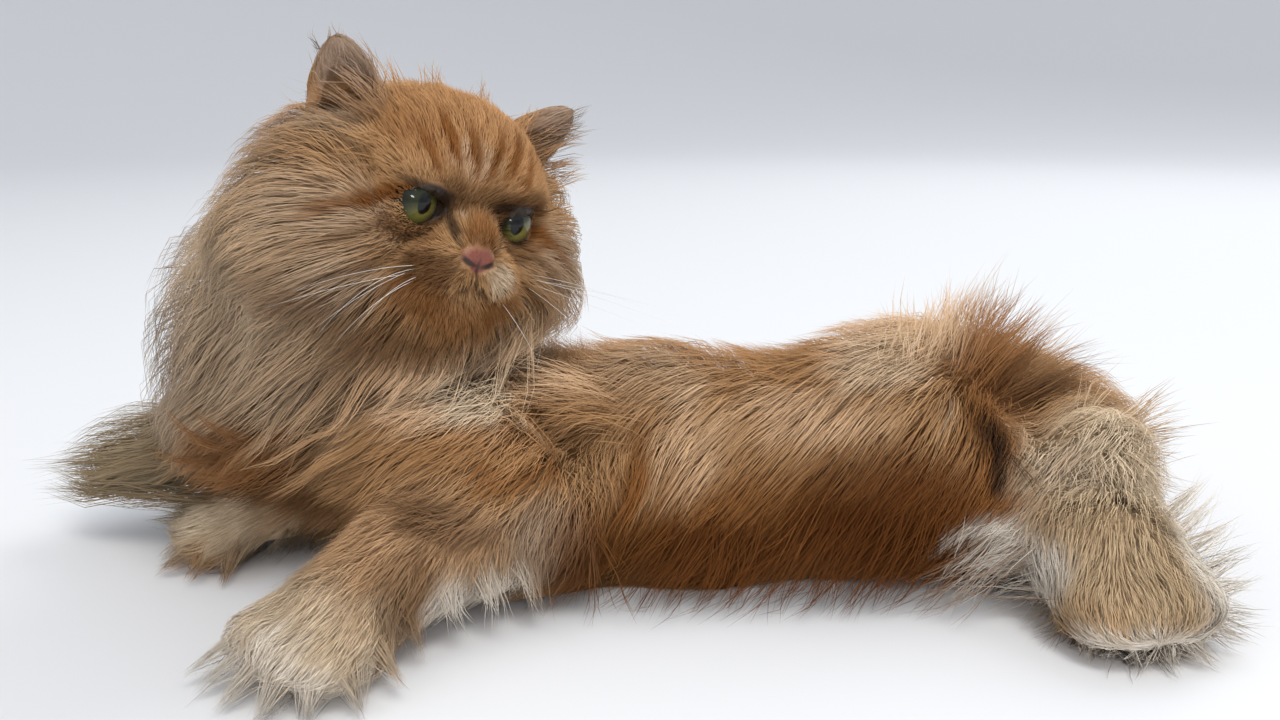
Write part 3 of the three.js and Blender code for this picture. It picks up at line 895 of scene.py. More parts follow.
def eyeMaterial():
    wetCoat = {"Coat_Weight": 0.8, "Coat_Roughness": 0.02, "Coat_IOR": 1.4}
    material, tree, shader = newMaterial("catEye", Roughness=0.35, Specular_IOR_Level=0.1, **wetCoat)
    place = attributeOf(tree, "eyePlace", "Vector")
    split = fed(tree, "ShaderNodeSeparateXYZ", {0: place})
    across, upright = split.outputs["X"], split.outputs["Z"]
    towardsLid = {0: place, 1: eyeball["lidShadow"]["way"]}
    underLid = fed(tree, "ShaderNodeVectorMath", towardsLid, operation="DOT_PRODUCT")
    flat = fed(tree, "ShaderNodeCombineXYZ", {"X": across, "Z": upright}).outputs[0]

    def lengthOf(vector):
        return fed(tree, "ShaderNodeVectorMath", {0: vector}, operation="LENGTH").outputs["Value"]

    def ringMask(radii, soft):
        halves = {0: flat, 1: (radii[0], 1, radii[1])}
        scaled = fed(tree, "ShaderNodeVectorMath", halves, operation="DIVIDE").outputs[0]
        return smoothRange(tree, lengthOf(scaled), {"From Min": 1 - soft, "From Max": 1 + soft})

    angle = fed(tree, "ShaderNodeMath", {0: across, 1: upright}, operation="ARCTAN2").outputs[0]
    polar = fed(tree, "ShaderNodeCombineXYZ", {"X": angle, "Y": lengthOf(flat)}).outputs[0]
    stretch = fed(tree, "ShaderNodeVectorMath", {0: polar, 1: (9, 0.35, 1)}, operation="MULTIPLY").outputs[0]
    fibres = noiseOn(tree, stretch, 2.2, Detail=6, Roughness=0.65)
    shades = eyeball["colours"]
    iris = mixColours(tree, ringMask((6.2, 6.2), 0.35), shades["inner"], shades["outer"])
    fibre = mixColours(tree, fibres, (0.35, 0.35, 0.3, 1), (1.65, 1.6, 1.5, 1))
    iris = mixColours(tree, 1, iris, fibre, "MULTIPLY")
    first, last = eyeball["lidShadow"]["from"], eyeball["lidShadow"]["to"]
    shadow = smoothRange(tree, underLid.outputs["Value"], {"From Min": first, "From Max": last})
    shaded = mixColours(tree, 1, iris, eyeball["lidShadow"]["colour"], "MULTIPLY")
    iris = mixColours(tree, shadow, iris, shaded)
    iris = mixColours(tree, ringMask((9.4, 9.4), 0.1), iris, shades["rim"])
    iris = mixColours(tree, ringMask((eyeball["iris"] + 0.9,) * 2, 0.06), iris, shades["white"])
    colour = mixColours(tree, ringMask(eyeball["pupil"], 0.1), shades["pupil"], iris)
    link(tree, colour, shader.inputs["Base Color"])
    link(tree, bumpOf(tree, fibres, 0.15, 0.0002), shader.inputs["Normal"])
    return material


def makeEye(side, material):
    centre = np.array(eye["at"]) * (side, 1, 1)
    places = [(0, 1, 0)]
    for ring in range(1, eyeball["rings"]):
        tilt = math.pi * (ring / eyeball["rings"]) ** 1.25
        for spoke in range(eyeball["spokes"]):
            turn = 2 * math.pi * spoke / eyeball["spokes"]
            places.append((math.sin(tilt) * math.cos(turn), math.cos(tilt), math.sin(tilt) * math.sin(turn)))
    places.append((0, -1, 0))
    local = np.array(places) * eye["radius"]
    off = np.hypot(local[:, 0], local[:, 2])
    ahead = local[:, 1] > 0
    local[:, 1] += eyeball["corneaRise"] * smooth(1 - off / eyeball["corneaReach"]) * ahead
    made = bmesh.new()
    gaze = np.array(Matrix.Rotation(math.radians(-eyeball["gaze"][side]), 3, "Z"))
    vertices = [made.verts.new(place) for place in outOfHead(local @ gaze.T + centre) * metre]
    spokes = eyeball["spokes"]

    def at(ring, spoke):
        return vertices[1 + (ring - 1) * spokes + spoke % spokes]

    for spoke in range(spokes):
        made.faces.new((vertices[0], at(1, spoke), at(1, spoke + 1)))
        made.faces.new((vertices[-1], at(eyeball["rings"] - 1, spoke + 1), at(eyeball["rings"] - 1, spoke)))
        for ring in range(1, eyeball["rings"] - 1):
            corners = ((ring, spoke), (ring + 1, spoke), (ring + 1, spoke + 1), (ring, spoke + 1))
            made.faces.new([at(*corner) for corner in corners])
    bmesh.ops.recalc_face_normals(made, faces=made.faces)
    name = "rightEye" if side > 0 else "leftEye"
    mesh = bpy.data.meshes.new(name)
    made.to_mesh(mesh)
    made.free()
    mesh.polygons.foreach_set("use_smooth", np.ones(len(mesh.polygons), bool))
    setAttribute(mesh, "eyePlace", local)
    piece = pieceOf(name, mesh, material)
    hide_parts("eye_right" if side > 0 else "eye_left")


eyeShine = eyeMaterial()
for side in (1, -1):
    makeEye(side, eyeShine)
print("eyes: 2")

# Combing. Each row of a region is a stroke's place and the way the hair lies there.
# Head strokes come in pairs.
headStrokes = [
    ("face", [
        (0, 50, -6, 0, 0, 1), (9, 46, -7, 0.5, -0.3, 0.6), (12, 48, -20, 0.9, -0.25, -0.35),
        (20, 42, -26, 0.8, -0.4, -0.5), (4, 50, -29, 0.35, 0, -1), (10, 42, -36, 0.3, 0.1, -1),
        (0, 44, -42, 0, 0.1, -1), (22, 34, -14, 0.85, -0.35, -0.4), (36, 24, -10, 0.9, -0.45, -0.3),
        (36, 22, 8, 0.8, -0.5, 0.2), (6, 42, 4, 0.15, -0.2, 1), (12, 38, 12, 0.3, -0.3, 0.9),
        (24, 34, 15, 0.5, -0.4, 0.8),
    ]),
    ("crown", [
        (0, 30, 30, 0, -0.5, 0.85), (18, 27, 32, 0.25, -0.55, 0.8), (32, 14, 34, 0.4, -0.65, 0.6),
        (0, 8, 46, 0, -1, 0.15), (16, -10, 48, 0.1, -1, -0.1),
    ]),
    ("cheek", [
        (48, 10, 8, 0.8, -0.65, 0.0), (50, 14, -12, 0.92, -0.4, -0.25), (38, 26, -26, 0.88, -0.2, -0.4),
        (50, 10, -34, 0.85, -0.2, -0.55), (66, -4, 0, 0.8, -0.6, -0.3), (26, 30, -46, 0.45, 0.1, -0.95),
        (8, 34, -54, 0.15, 0.15, -1), (68, -6, -26, 0.7, -0.4, -0.8),
    ]),
    ("nape", [
        (0, -34, 38, 0, -0.8, -0.6), (34, -40, 6, 0.35, -0.5, -0.9), (0, -54, 0, 0, -0.4, -1),
    ]),
    ("ear", [
        (46, -26, 40, 0.5, 0.1, 0.85), (56, -14, 54, 0.5, 0.35, 0.8), (44, 4, 38, 0.6, 0.25, 0.6),
        (56, 0, 34, 0.8, 0.1, 0.3),
    ]),
]
bodyStrokes = [
    ("ruff", [
        (-150, -72, 186, -0.65, -0.25, -0.7), (-185, -30, 180, -0.7, -0.1, -0.7),
        (-204, -20, 140, -0.45, -0.1, -0.9), (-172, -76, 132, -0.5, -0.25, -0.8),
        (-130, -86, 140, -0.6, -0.2, -0.75), (-136, -82, 104, -0.75, -0.2, -0.6),
        (-218, -20, 96, -0.4, -0.15, -0.9), (-186, -72, 72, -0.8, -0.2, -0.5),
        (-170, 52, 150, -0.4, 0.4, -0.85), (-150, 60, 100, -0.3, 0.4, -0.9),
        (-100, 30, 190, 0.3, 0.6, -0.7),
    ]),
    ("bib", [
        (-226, -8, 56, -0.9, -0.05, -0.35), (-226, 40, 50, -0.9, 0.2, -0.35),
        (-262, -12, 34, -0.98, 0.1, -0.1), (-262, 42, 34, -0.98, -0.05, -0.1), (-300, 18, 34, -1, 0, -0.05),
    ]),
    ("shoulder", [
        (-50, -52, 106, -0.75, -0.45, -0.3), (-96, -74, 92, -0.75, -0.45, -0.35),
        (-56, -88, 74, -0.6, -0.45, -0.6), (-26, -84, 60, -0.35, -0.4, -0.85),
        (-24, -60, 92, -0.6, -0.45, -0.55), (-40, -34, 108, -0.85, -0.45, -0.1),
        (-72, -50, 108, -0.75, -0.6, -0.15), (-38, -52, 104, -0.9, -0.35, -0.1),
        (-52, -62, 104, -0.9, -0.35, -0.15), (-62, -74, 101, -0.85, -0.4, -0.3),
        (-38, -70, 92, -0.8, -0.35, -0.45), (-78, -80, 100, -0.8, -0.4, -0.4),
        (-50, -44, 110, -0.85, -0.5, -0.1),
    ]),
    ("back", [
        (-18, -38, 100, -0.6, -0.45, -0.6),
    ]),
    ("arm", [
        (-76, -104, 56, -0.65, -0.5, -0.4), (-108, -118, 50, -0.6, -0.65, -0.35),
        (-124, -100, 46, -0.75, -0.4, -0.5), (-56, -104, 22, 0.1, -0.45, -0.85),
        (-84, -126, 22, -0.3, -0.65, -0.65),
    ]),
    ("paw", [
        (-124, -146, 38, -0.5, -0.8, -0.25), (-142, -162, 14, -0.55, -0.8, -0.15),
        (-110, -152, 18, -0.2, -0.9, -0.3), (-152, -138, 20, -0.75, -0.6, -0.25),
        (-190, -46, 36, -0.8, -0.45, -0.35), (-218, -36, 20, -0.95, -0.25, -0.2),
        (-180, -50, 14, -0.6, -0.7, -0.4),
    ]),
    ("back", [
        (-40, 0, 112, -0.85, -0.35, -0.1), (20, 4, 108, -0.95, -0.15, 0), (80, 4, 112, -0.95, -0.15, 0),
        (134, 4, 118, -0.7, -0.2, 0.3), (10, -30, 102, -0.8, -0.45, -0.3),
        (70, -34, 106, -0.8, -0.45, -0.3), (130, -36, 110, -0.6, -0.5, -0.1),
        (30, -52, 90, -0.65, -0.5, -0.55), (84, -56, 92, -0.65, -0.45, -0.6),
    ]),
    ("flank", [
        (-10, -72, 76, -0.2, -0.35, -0.9), (-14, -78, 52, -0.2, -0.3, -0.93),
        (2, -78, 20, -0.5, -0.4, -0.7), (56, -76, 58, -0.7, -0.3, -0.65),
        (110, -78, 60, -0.62, -0.3, -0.72), (150, -72, 66, -0.5, -0.3, -0.8),
        (56, -84, 20, -0.62, -0.4, -0.6), (120, -88, 22, -0.6, -0.4, -0.6),
        (160, -60, 96, -0.35, -0.4, -0.85),
    ]),
    ("hip", [
        (168, -24, 116, 0.1, -0.3, 0.8), (186, -36, 106, 0.45, -0.2, 0.75),
        (210, -34, 88, 0.85, -0.25, 0.3), (190, 20, 106, 0.5, 0.3, 0.4),
    ]),
    ("breech", [
        (238, -16, 66, 0.85, -0.3, -0.2), (200, -74, 62, -0.65, -0.35, -0.65),
        (236, -56, 60, -0.45, -0.5, -0.7), (216, -78, 54, -0.5, -0.5, -0.7),
        (222, -62, 78, -0.65, -0.4, -0.5), (244, -38, 82, 0.7, -0.3, 0.2),
    ]),
    ("foot", [
        (204, -104, 54, -0.3, -0.7, -0.6), (214, -94, 52, -0.3, -0.65, -0.65),
        (212, -130, 34, 0.05, -0.9, -0.35), (186, -112, 26, -0.6, -0.75, -0.2),
        (238, -110, 32, 0.8, -0.55, 0.05), (216, -142, 14, 0.15, -1, -0.1),
        (176, -82, 20, -0.95, -0.3, -0.15),
    ]),
    ("farSide", [
        (236, 30, 50, 0.7, 0.5, -0.5), (110, 88, 56, -0.2, 0.5, -0.8), (172, 80, 56, 0.2, 0.5, -0.8),
        (10, 72, 50, 0.1, 0.5, -0.85), (40, 44, 92, -0.5, 0.6, -0.4), (120, 44, 102, -0.5, 0.6, -0.4),
        (-90, 60, 70, -0.1, 0.5, -0.85), (84, 96, 26, -0.9, 0.4, -0.2),
    ]),
    ("tail", [
        (236, 84, 46, -0.3, 0.9, -0.1), (206, 130, 42, -0.85, 0.5, -0.1), (140, 148, 38, -1, 0.15, -0.1),
        (72, 146, 34, -1, -0.05, -0.1), (26, 128, 24, -1, -0.2, -0.1),
    ]),
]
# length and width of a hair in millimetres, spacing of its locks, how far it gathers in its lock,
# height of its waves, how much of it strays outside the outline, number of hairs and of rings on each
regionColumns = ("length", "width", "lock", "gather", "wave", "stray", "hairs", "rings")
regions = {
    "face": (7.5, 0.34, 3, 0.18, 0.25, 0.8, 13800, 2),
    "crown": (14, 0.34, 5, 0.24, 0.5, 3, 8000, 2),
    "ear": (11, 0.32, 5, 0.18, 0.4, 1.8, 3800, 2),
    "cheek": (42, 0.38, 8, 0.2, 1.2, 2.5, 7100, 3),
    "nape": (38, 0.5, 10, 0.24, 1.5, 5, 1500, 2),
    "ruff": (72, 0.5, 15, 0.27, 3, 7, 7000, 4),
    "bib": (128, 0.55, 15, 0.27, 3, 7, 2300, 4),
    "shoulder": (42, 0.42, 11, 0.3, 3, 6, 5700, 3),
    "arm": (23, 0.36, 8, 0.27, 1.3, 3.5, 8200, 2),
    "paw": (17, 0.34, 6, 0.3, 0.6, 3, 8000, 2),
    "back": (44, 0.42, 12, 0.21, 1.2, 3, 8200, 2),
    "flank": (60, 0.4, 12, 0.25, 2.2, 5, 9900, 3),
    "hip": (44, 0.38, 11, 0.3, 2, 9, 3800, 3),
    "breech": (46, 0.4, 10, 0.27, 1.8, 6, 5000, 3),
    "foot": (21, 0.36, 7, 0.27, 0.7, 5, 8000, 2),
    "farSide": (46, 0.8, 13, 0.27, 2, 5, 4400, 2),
    "tail": (44, 0.75, 12, 0.27, 2, 6, 2900, 2),
    "tuft": (30, 0.3, 6, 0, 0, 0, 0, 3),
    "longTuft": (60, 0.4, 6, 0, 0, 0, 0, 4),
}
regions = {name: dict(zip(regionColumns, row)) for name, row in regions.items()}
coatPieces = {
    "faceCoat": ("cream_coat", ["face"]),
    "headCoat": ("tan_coat", ["crown", "ear"]),
    "cheekCoat": ("tan_coat", ["cheek", "nape"]),
    "ruffCoat": ("tan_coat", ["ruff"]),
    "bibCoat": ("cream_coat", ["bib"]),
    "shoulderCoat": ("tan_coat", ["shoulder"]),
    "armCoat": ("tan_coat", ["arm"]),
    "pawCoat": ("cream_coat", ["paw"]),
    "backCoat": ("tan_coat", ["back"]),
    "flankCoat": ("red_coat", ["flank"]),
    "hipCoat": ("red_coat", ["hip", "breech"]),
    "footCoat": ("cream_coat", ["foot"]),
    "farCoat": ("tan_coat", ["farSide"]),
    "tailCoat": ("red_coat", ["tail"]),
    "tuftCoat": ("cream_coat", ["tuft", "longTuft"]),
}
traitNames = ("length", "width", "gather", "wave", "stray")
combing = {"batch": 20000, "blur": 40, "fallOff": -2.5}  # a stroke's pull falls off with its squared distance


def eachStroke(groups):
    rows = [(region, np.array(row, float)) for region, group in groups for row in group]
    return [(region, row[:3], row[3:]) for region, row in rows]


def allStrokes():
    strokes = []
    for region, at, way in eachStroke(headStrokes):
        for side in (1, -1) if at[0] else (1,):
            flip = np.array([side, 1, 1])
            strokes.append((region, outOfHead(at * flip), headTurn @ (way * flip)))
    return strokes + eachStroke(bodyStrokes)


strokes = allStrokes()
strokePlaces = np.array([at for _, at, _ in strokes])
strokeWays = unit(np.array([way for _, _, way in strokes]))
strokeTraits = np.array([[regions[region][name] for name in traitNames] for region, _, _ in strokes])
strokeRegions = np.array([list(regions).index(region) for region, _, _ in strokes])


def combAt(points):
    ways = np.empty((len(points), 3))
    traits = np.empty((len(points), len(traitNames)))
    nearest = np.empty(len(points), int)
    for first in range(0, len(points), combing["batch"]):
        some = slice(first, first + combing["batch"])
        gap = ((points[some, None, :] - strokePlaces[None]) ** 2).sum(2)
        nearest[some] = gap.argmin(1)
        share = (gap + combing["blur"]) ** combing["fallOff"]
        share /= share.sum(1, keepdims=True)
        ways[some] = share @ strokeWays
        traits[some] = share @ strokeTraits
    return ways, traits, strokeRegions[nearest]


# Roots, spread over the skin by area, with few on the underside and none on the eyes, nose and lips
def trianglesOf(mesh):
    mesh.calc_loop_triangles()
    corners = np.empty(len(mesh.loop_triangles) * 3, np.int32)
    mesh.loop_triangles.foreach_get("vertices", corners)
    return corners.reshape(-1, 3)


bareSpots = {
    "eye": (10.1, 8.7),
    "innerCorner": {"at": (11, 36, -5), "half": (3, 6, 2.4)},
    "lips": (1.5, 1.3),
    "philtrum": (1.6, 1.4),
    "nose": {"at": (0, 49.5, -16.4), "size": (7.4, 7, 5.2)},
    "underside": {"below": 22, "facing": -0.6, "share": 0.2},
}


def bareParts(inHead):
    bare = np.zeros(len(inHead), bool)
    across, upright = bareSpots["eye"]
    inner = bareSpots["innerCorner"]
    for side in (1, -1):
        fromEye = inHead - np.array(eye["at"]) * (side, 1, 1) - (lids["shift"][side], 0, 0)
        bare |= (np.hypot(fromEye[:, 0] / across, fromEye[:, 2] / upright) < 1) & (fromEye[:, 1] > -2)
        bare |= (np.abs(inHead - np.multiply(inner["at"], (side, 1, 1))) < inner["half"]).all(1)
        for start, end in zip(mouthLine, mouthLine[1:]):
            bare |= distanceTo(limb(start, end, *bareSpots["lips"], 0), inHead * (side, 1, 1), False) < 0
    bare |= distanceTo(limb(*philtrum, *bareSpots["philtrum"], 0), inHead, False) < 0
    noseGap = (inHead - bareSpots["nose"]["at"]) / bareSpots["nose"]["size"]
    return bare | ((noseGap**2).sum(1) < 1)


def rootsOf(points, triangles):
    a, b, c = (points[triangles[:, k]] for k in range(3))
    across = np.cross(b - a, c - a)
    area = np.linalg.norm(across, axis=1) / 2
    normal = unit(across)
    middle = (a + b + c) / 3
    _, _, region = combAt(middle)
    weight = np.where(bareParts(toHead(middle)), 0, area)
    under = bareSpots["underside"]
    weight[(normal[:, 2] < under["facing"]) & (middle[:, 2] < under["below"])] *= under["share"]
    picked = []
    for number, name in enumerate(regions):
        share = weight * (region == number)
        if share.sum() == 0:
            continue
        chosen = chance.choice(len(share), regions[name]["hairs"], p=share / share.sum())
        picked.append(chosen)
    chosen = np.concatenate(picked)
    u, v = chance.random((2, len(chosen), 1))
    over = u + v > 1
    u, v = np.where(over, 1 - u, u), np.where(over, 1 - v, v)
    roots = a[chosen] + u * (b[chosen] - a[chosen]) + v * (c[chosen] - a[chosen])
    return roots, normal[chosen], region[chosen]


coatSpace = {"low": (-345, -205, -12), "high": (290, 190, 275), "cell": 3.0}
coatGrid = gridOf(coatField, **coatSpace)
bareGrid = gridOf(skinField, **coatSpace)
skinPoints = placesOf(skinMesh).astype(float)
roots, rootNormals, rootRegions = rootsOf(skinPoints, trianglesOf(skinMesh))

# Tufts that stand out of the coat: root, middle and tip in millimetres, number of hairs,
# spread at the root and at the tip, and height of the waves
def alike(numbers, rows):
    return [(row[:3], row[3:6], row[6:], *numbers) for row in rows]


bodyTufts = {
    "hipFan": [
        (
            (x, y, z),
            (x + 2 + lean * 0.4, y + 2, z + rise * 0.55),
            (x + 3 + lean, y + 10, z + rise),
            32, 13, 10, 3,
        )
        for x, z, lean, rise in (
            (122, 102, 0, 14), (130, 103, 1, 19), (138, 104, 3, 25), (145, 104, 6, 31),
            (151, 104, 10, 34), (157, 104, 15, 33), (163, 103, 20, 29), (169, 101, 26, 24),
            (175, 98, 31, 19), (182, 93, 34, 15), (190, 88, 36, 11),
        )
        for y in (-32, -18, -4)
    ],
    "breechEdge": [
        ((226, -34, 72), (242, -32, 80), (256, -26, 84), 60, 13, 10, 2),
        ((230, -34, 64), (248, -30, 70), (263, -26, 70), 60, 13, 10, 2),
        ((232, -34, 56), (248, -34, 60), (260, -30, 56), 56, 13, 10, 2),
        ((228, -50, 50), (242, -54, 50), (252, -54, 45), 46, 11, 9, 2),
        ((234, -26, 60), (254, -24, 64), (272, -20, 60), 12, 8, 5, 2),
    ],
    "footSpikes": alike((56, 10, 5, 0.7), [
        (228, -92, 44, 238, -90, 54, 246, -86, 64),
        (232, -98, 40, 243, -94, 50, 253, -89, 58),
        (235, -102, 34, 248, -98, 42, 259, -94, 48),
        (237, -106, 28, 250, -104, 33, 261, -102, 37),
        (237, -112, 22, 250, -112, 25, 261, -112, 26),
        (236, -118, 16, 249, -121, 15, 260, -123, 13),
        (232, -124, 12, 242, -129, 10, 250, -133, 7),
        (222, -130, 10, 227, -138, 6, 231, -145, 3),
        (210, -133, 9, 212, -142, 5, 213, -149, 2),
        (198, -131, 10, 199, -140, 6, 199, -147, 2),
        (188, -126, 12, 183, -134, 7, 180, -140, 3),
    ]),
    "ankle": [
        ((x, y, 70), (x - 3, y - 22, 66), (x - 8, y - 36, 56), 60, 16, 10, 2)
        for x, y in ((182, -58), (194, -62), (206, -62), (218, -60), (230, -56), (238, -50))
    ],
    "heel": alike((60, 10, 6, 1), [
        (184, -80, 36, 166, -84, 36, 151, -86, 35),
        (180, -84, 27, 162, -90, 27, 144, -93, 25),
        (182, -90, 18, 166, -97, 17, 150, -100, 13),
        (186, -98, 14, 174, -107, 11, 160, -113, 7),
        (186, -110, 14, 176, -119, 10, 166, -126, 5),
    ]),
    "elbow": alike((60, 10, 6, 1), [
        (-62, -112, 34, -60, -119, 24, -60, -117, 11),
        (-48, -102, 36, -44, -110, 24, -44, -109, 10),
        (-76, -120, 32, -76, -127, 21, -75, -126, 10),
        (-90, -132, 28, -89, -140, 18, -88, -140, 8),
    ]),
    "wrist": [
        ((-104, -104, 48), (-121, -112, 45), (-132, -124, 36), 60, 13, 9, 1),
        ((-114, -112, 44), (-131, -122, 39), (-142, -134, 28), 60, 13, 9, 1),
        ((-124, -122, 40), (-141, -130, 33), (-152, -141, 22), 60, 13, 8, 1),
        ((-132, -130, 35), (-149, -138, 27), (-160, -147, 16), 60, 13, 7, 1),
    ],
    "toes": [
        ((-152, -142, 22), (-166, -150, 14), (-177, -154, 5), 80, 11, 3, 0.5),
        ((-150, -150, 18), (-162, -158, 10), (-171, -165, 3), 80, 11, 3, 0.5),
        ((-143, -158, 18), (-152, -168, 9), (-159, -176, 3), 90, 11, 3, 0.5),
        ((-133, -164, 17), (-138, -176, 8), (-141, -184, 3), 90, 11, 3, 0.5),
        ((-122, -166, 17), (-122, -178, 8), (-121, -186, 3), 80, 11, 3, 0.5),
        ((-110, -162, 18), (-105, -173, 9), (-102, -180, 4), 70, 11, 3, 0.5),
        ((-101, -153, 20), (-94, -161, 12), (-90, -165, 7), 60, 10, 3, 0.5),
        ((-214, -34, 14), (-226, -38, 8), (-235, -39, 3), 70, 10, 3, 0.5),
        ((-212, -44, 14), (-222, -51, 8), (-229, -55, 3), 70, 10, 3, 0.5),
        ((-204, -50, 16), (-208, -59, 9), (-211, -66, 3), 60, 10, 3, 0.5),
        ((-190, -54, 16), (-192, -63, 9), (-193, -69, 3), 60, 10, 3, 0.5),
    ],
    "spiky": [
        ((-174, -72, 58), (-192, -88, 72), (-207, -82, 93), 70, 9, 2, 0.8),
        ((-166, -74, 64), (-180, -92, 78), (-192, -88, 97), 60, 9, 2, 0.8),
        ((-186, -64, 54), (-204, -82, 62), (-218, -80, 76), 46, 9, 2, 0.8),
        ((-164, -70, 56), (-182, -84, 58), (-202, -86, 64), 40, 7, 3, 1),
    ],
    "chest": [
        ((-14, -42, 98), (-34, -58, 103), (-54, -70, 98), 60, 18, 10, 2),
        ((-24, -52, 96), (-44, -68, 100), (-64, -80, 92), 60, 18, 10, 2),
        ((-4, -50, 90), (-24, -66, 93), (-46, -80, 84), 60, 18, 10, 2),
        ((-24, -34, 104), (-42, -48, 110), (-60, -62, 106), 60, 18, 10, 2),
        ((-40, -42, 106), (-58, -58, 110), (-78, -72, 104), 60, 18, 10, 2),
        ((-52, -54, 105), (-70, -70, 107), (-90, -84, 98), 60, 16, 9, 3),
    ],
    "shoulderRuffle": [
        ((-30, -56, 98), (-42, -72, 94), (-52, -82, 82), 44, 9, 4, 2.5),
        ((-46, -58, 104), (-58, -76, 98), (-70, -86, 86), 50, 9, 4, 2.5),
        ((-60, -62, 105), (-74, -80, 99), (-87, -90, 87), 50, 9, 4, 2.5),
        ((-74, -66, 105), (-88, -84, 98), (-102, -93, 87), 50, 9, 4, 2.5),
        ((-88, -68, 106), (-102, -86, 99), (-117, -93, 88), 50, 9, 4, 2.5),
    ],
}
longTufts = {
    "bibWisps": [
        ((-212, -4, 50), (-262, 2, 44), (-308, 8, 38), 70, 18, 12, 3),
        ((-212, 10, 38), (-266, 14, 32), (-320, 18, 26), 80, 18, 11, 3),
        ((-212, 24, 48), (-260, 28, 42), (-304, 28, 38), 60, 18, 12, 3),
        ((-210, -22, 40), (-256, -18, 32), (-300, -8, 26), 56, 14, 9, 3),
        ((-208, -30, 56), (-246, -30, 46), (-282, -22, 38), 56, 14, 9, 3),
    ],
    "ruffLocks": [
        ((-104, -74, 108), (-120, -94, 96), (-136, -96, 80), 46, 9, 3, 4),
        ((-114, -72, 112), (-136, -92, 98), (-156, -94, 78), 50, 9, 3, 4),
        ((-126, -74, 106), (-150, -94, 88), (-174, -92, 68), 50, 9, 3, 4),
        ((-112, -76, 96), (-130, -96, 80), (-144, -98, 62), 46, 9, 3, 4),
        ((-140, -72, 98), (-164, -90, 78), (-186, -86, 56), 50, 9, 3, 4),
        ((-124, -78, 90), (-142, -96, 72), (-158, -96, 52), 46, 9, 3, 4),
        ((-150, -72, 84), (-172, -86, 66), (-196, -78, 50), 46, 9, 3, 4),
    ],
    "flankFringe": alike((48, 20, 11, 3), [
        (x, -84, 42, x - 16, -99, 23, x - 34, -95, 4) for x in range(-12, 160, 9)
    ]),
    "elbowCurtain": alike((44, 9, 6, 3), [
        (x, -64, 84, x - 4, -84, 52, x - 18, -92, 22) for x in (-22, -10, 2)
    ]),
}
headTufts = {
    "ears": [
        ((36, 8, 40), (46, 14, 48), (58, 12, 55), 36, 6, 6, 1),
        ((40, 12, 34), (52, 18, 43), (65, 10, 47), 44, 6, 6, 1),
        ((44, 12, 28), (57, 16, 35), (71, 4, 37), 44, 7, 6, 1),
        ((48, 10, 22), (61, 12, 27), (75, -2, 27), 40, 7, 6, 1),
        ((50, -4, 36), (56, 8, 46), (62, 10, 56), 26, 5, 5, 1),
        ((57, -2, 50), (62, 4, 57), (64, 10, 60), 8, 4, 3, 1.5),
        ((58, -8, 44), (66, -4, 50), (71, 2, 53), 12, 5, 4, 1.5),
    ],
    "temples": [
        ((38, 20, 20), (48, 20, 22), (60, 12, 20), 36, 8, 6, 1),
        ((42, 18, 10), (52, 18, 10), (64, 10, 6), 36, 8, 6, 1),
        ((30, 10, 40), (34, 8, 48), (38, 0, 54), 30, 9, 5, 1),
        ((12, 4, 46), (14, 0, 52), (16, -8, 57), 30, 10, 6, 1),
    ],
    "chinFringe": [
        ((4, 34, -50), (6, 39, -58), (8, 38, -67), 34, 6, 4, 1),
        ((15, 31, -50), (20, 34, -59), (26, 32, -68), 36, 6, 4, 1),
        ((26, 26, -48), (34, 28, -58), (43, 25, -68), 36, 6, 4, 1),
    ],
}
bodyRoots = len(roots)
skinTriangles = trianglesOf(skinMesh)
skinTree = BVHTree.FromPolygons(skinPoints.tolist(), skinTriangles.tolist())


def tuftPaths(tuft):
    start, middle, end, count, rootSpread, tipSpread, wave = tuft
    near = np.array(start) + chance.normal(0, rootSpread / 2, (count, 3))
    found = [skinTree.find_nearest(Vector(point)) for point in near]
    root = np.array([hit[0] for hit in found])
    normal = np.array([hit[1] for hit in found])
    wisps = max(3, count // 4)
    wispTips = chance.normal(0, tipSpread / 2, (wisps, 3))
    offset = wispTips[chance.integers(0, wisps, count)] + chance.normal(0, tipSpread * 0.25, (count, 3))
    reach = chance.uniform(0.55, 1.04, (count, 1))[:, None]
    share = np.linspace(0, 1, locks["segments"] + 1)[None, :, None] * reach
    tip = (np.array(end) + offset)[:, None]
    bend = (np.array(middle) + offset * 0.5 + (root - root.mean(0)) * 0.4)[:, None]
    path = root[:, None] * (1 - share) ** 2 + 2 * bend * share * (1 - share) + tip * share**2
    sideways = unit(np.cross(np.subtract(end, start), normal.mean(0)))
    phase = chance.uniform(0, 2 * math.pi) + chance.normal(0, 0.25, (count, 1, 1))
    path = path + sideways * wave * share * np.sin(7.5 * share + phase)
    path[:, :, 2] = np.maximum(path[:, :, 2], 0.5)
    path[:, 0] = root - normal * growth["rootSink"]
    return path, root, normal


def growTufts(tuftRegion, groups):
    made = [tuftPaths(tuft) for group in groups for tuft in group]
    path, root, normal = (np.concatenate(part) for part in zip(*made))
    return path, root, normal, np.full(len(root), list(regions).index(tuftRegion))


def toWorld(group):
    placed = []
    for *points, hairs, rootSpread, tipSpread, wave in group:
        for side in (1, -1):
            inWorld = [tuple(outOfHead(np.multiply(at, (side, 1, 1)))) for at in points]
            placed.append((*inWorld, hairs, rootSpread, tipSpread, wave))
    return placed


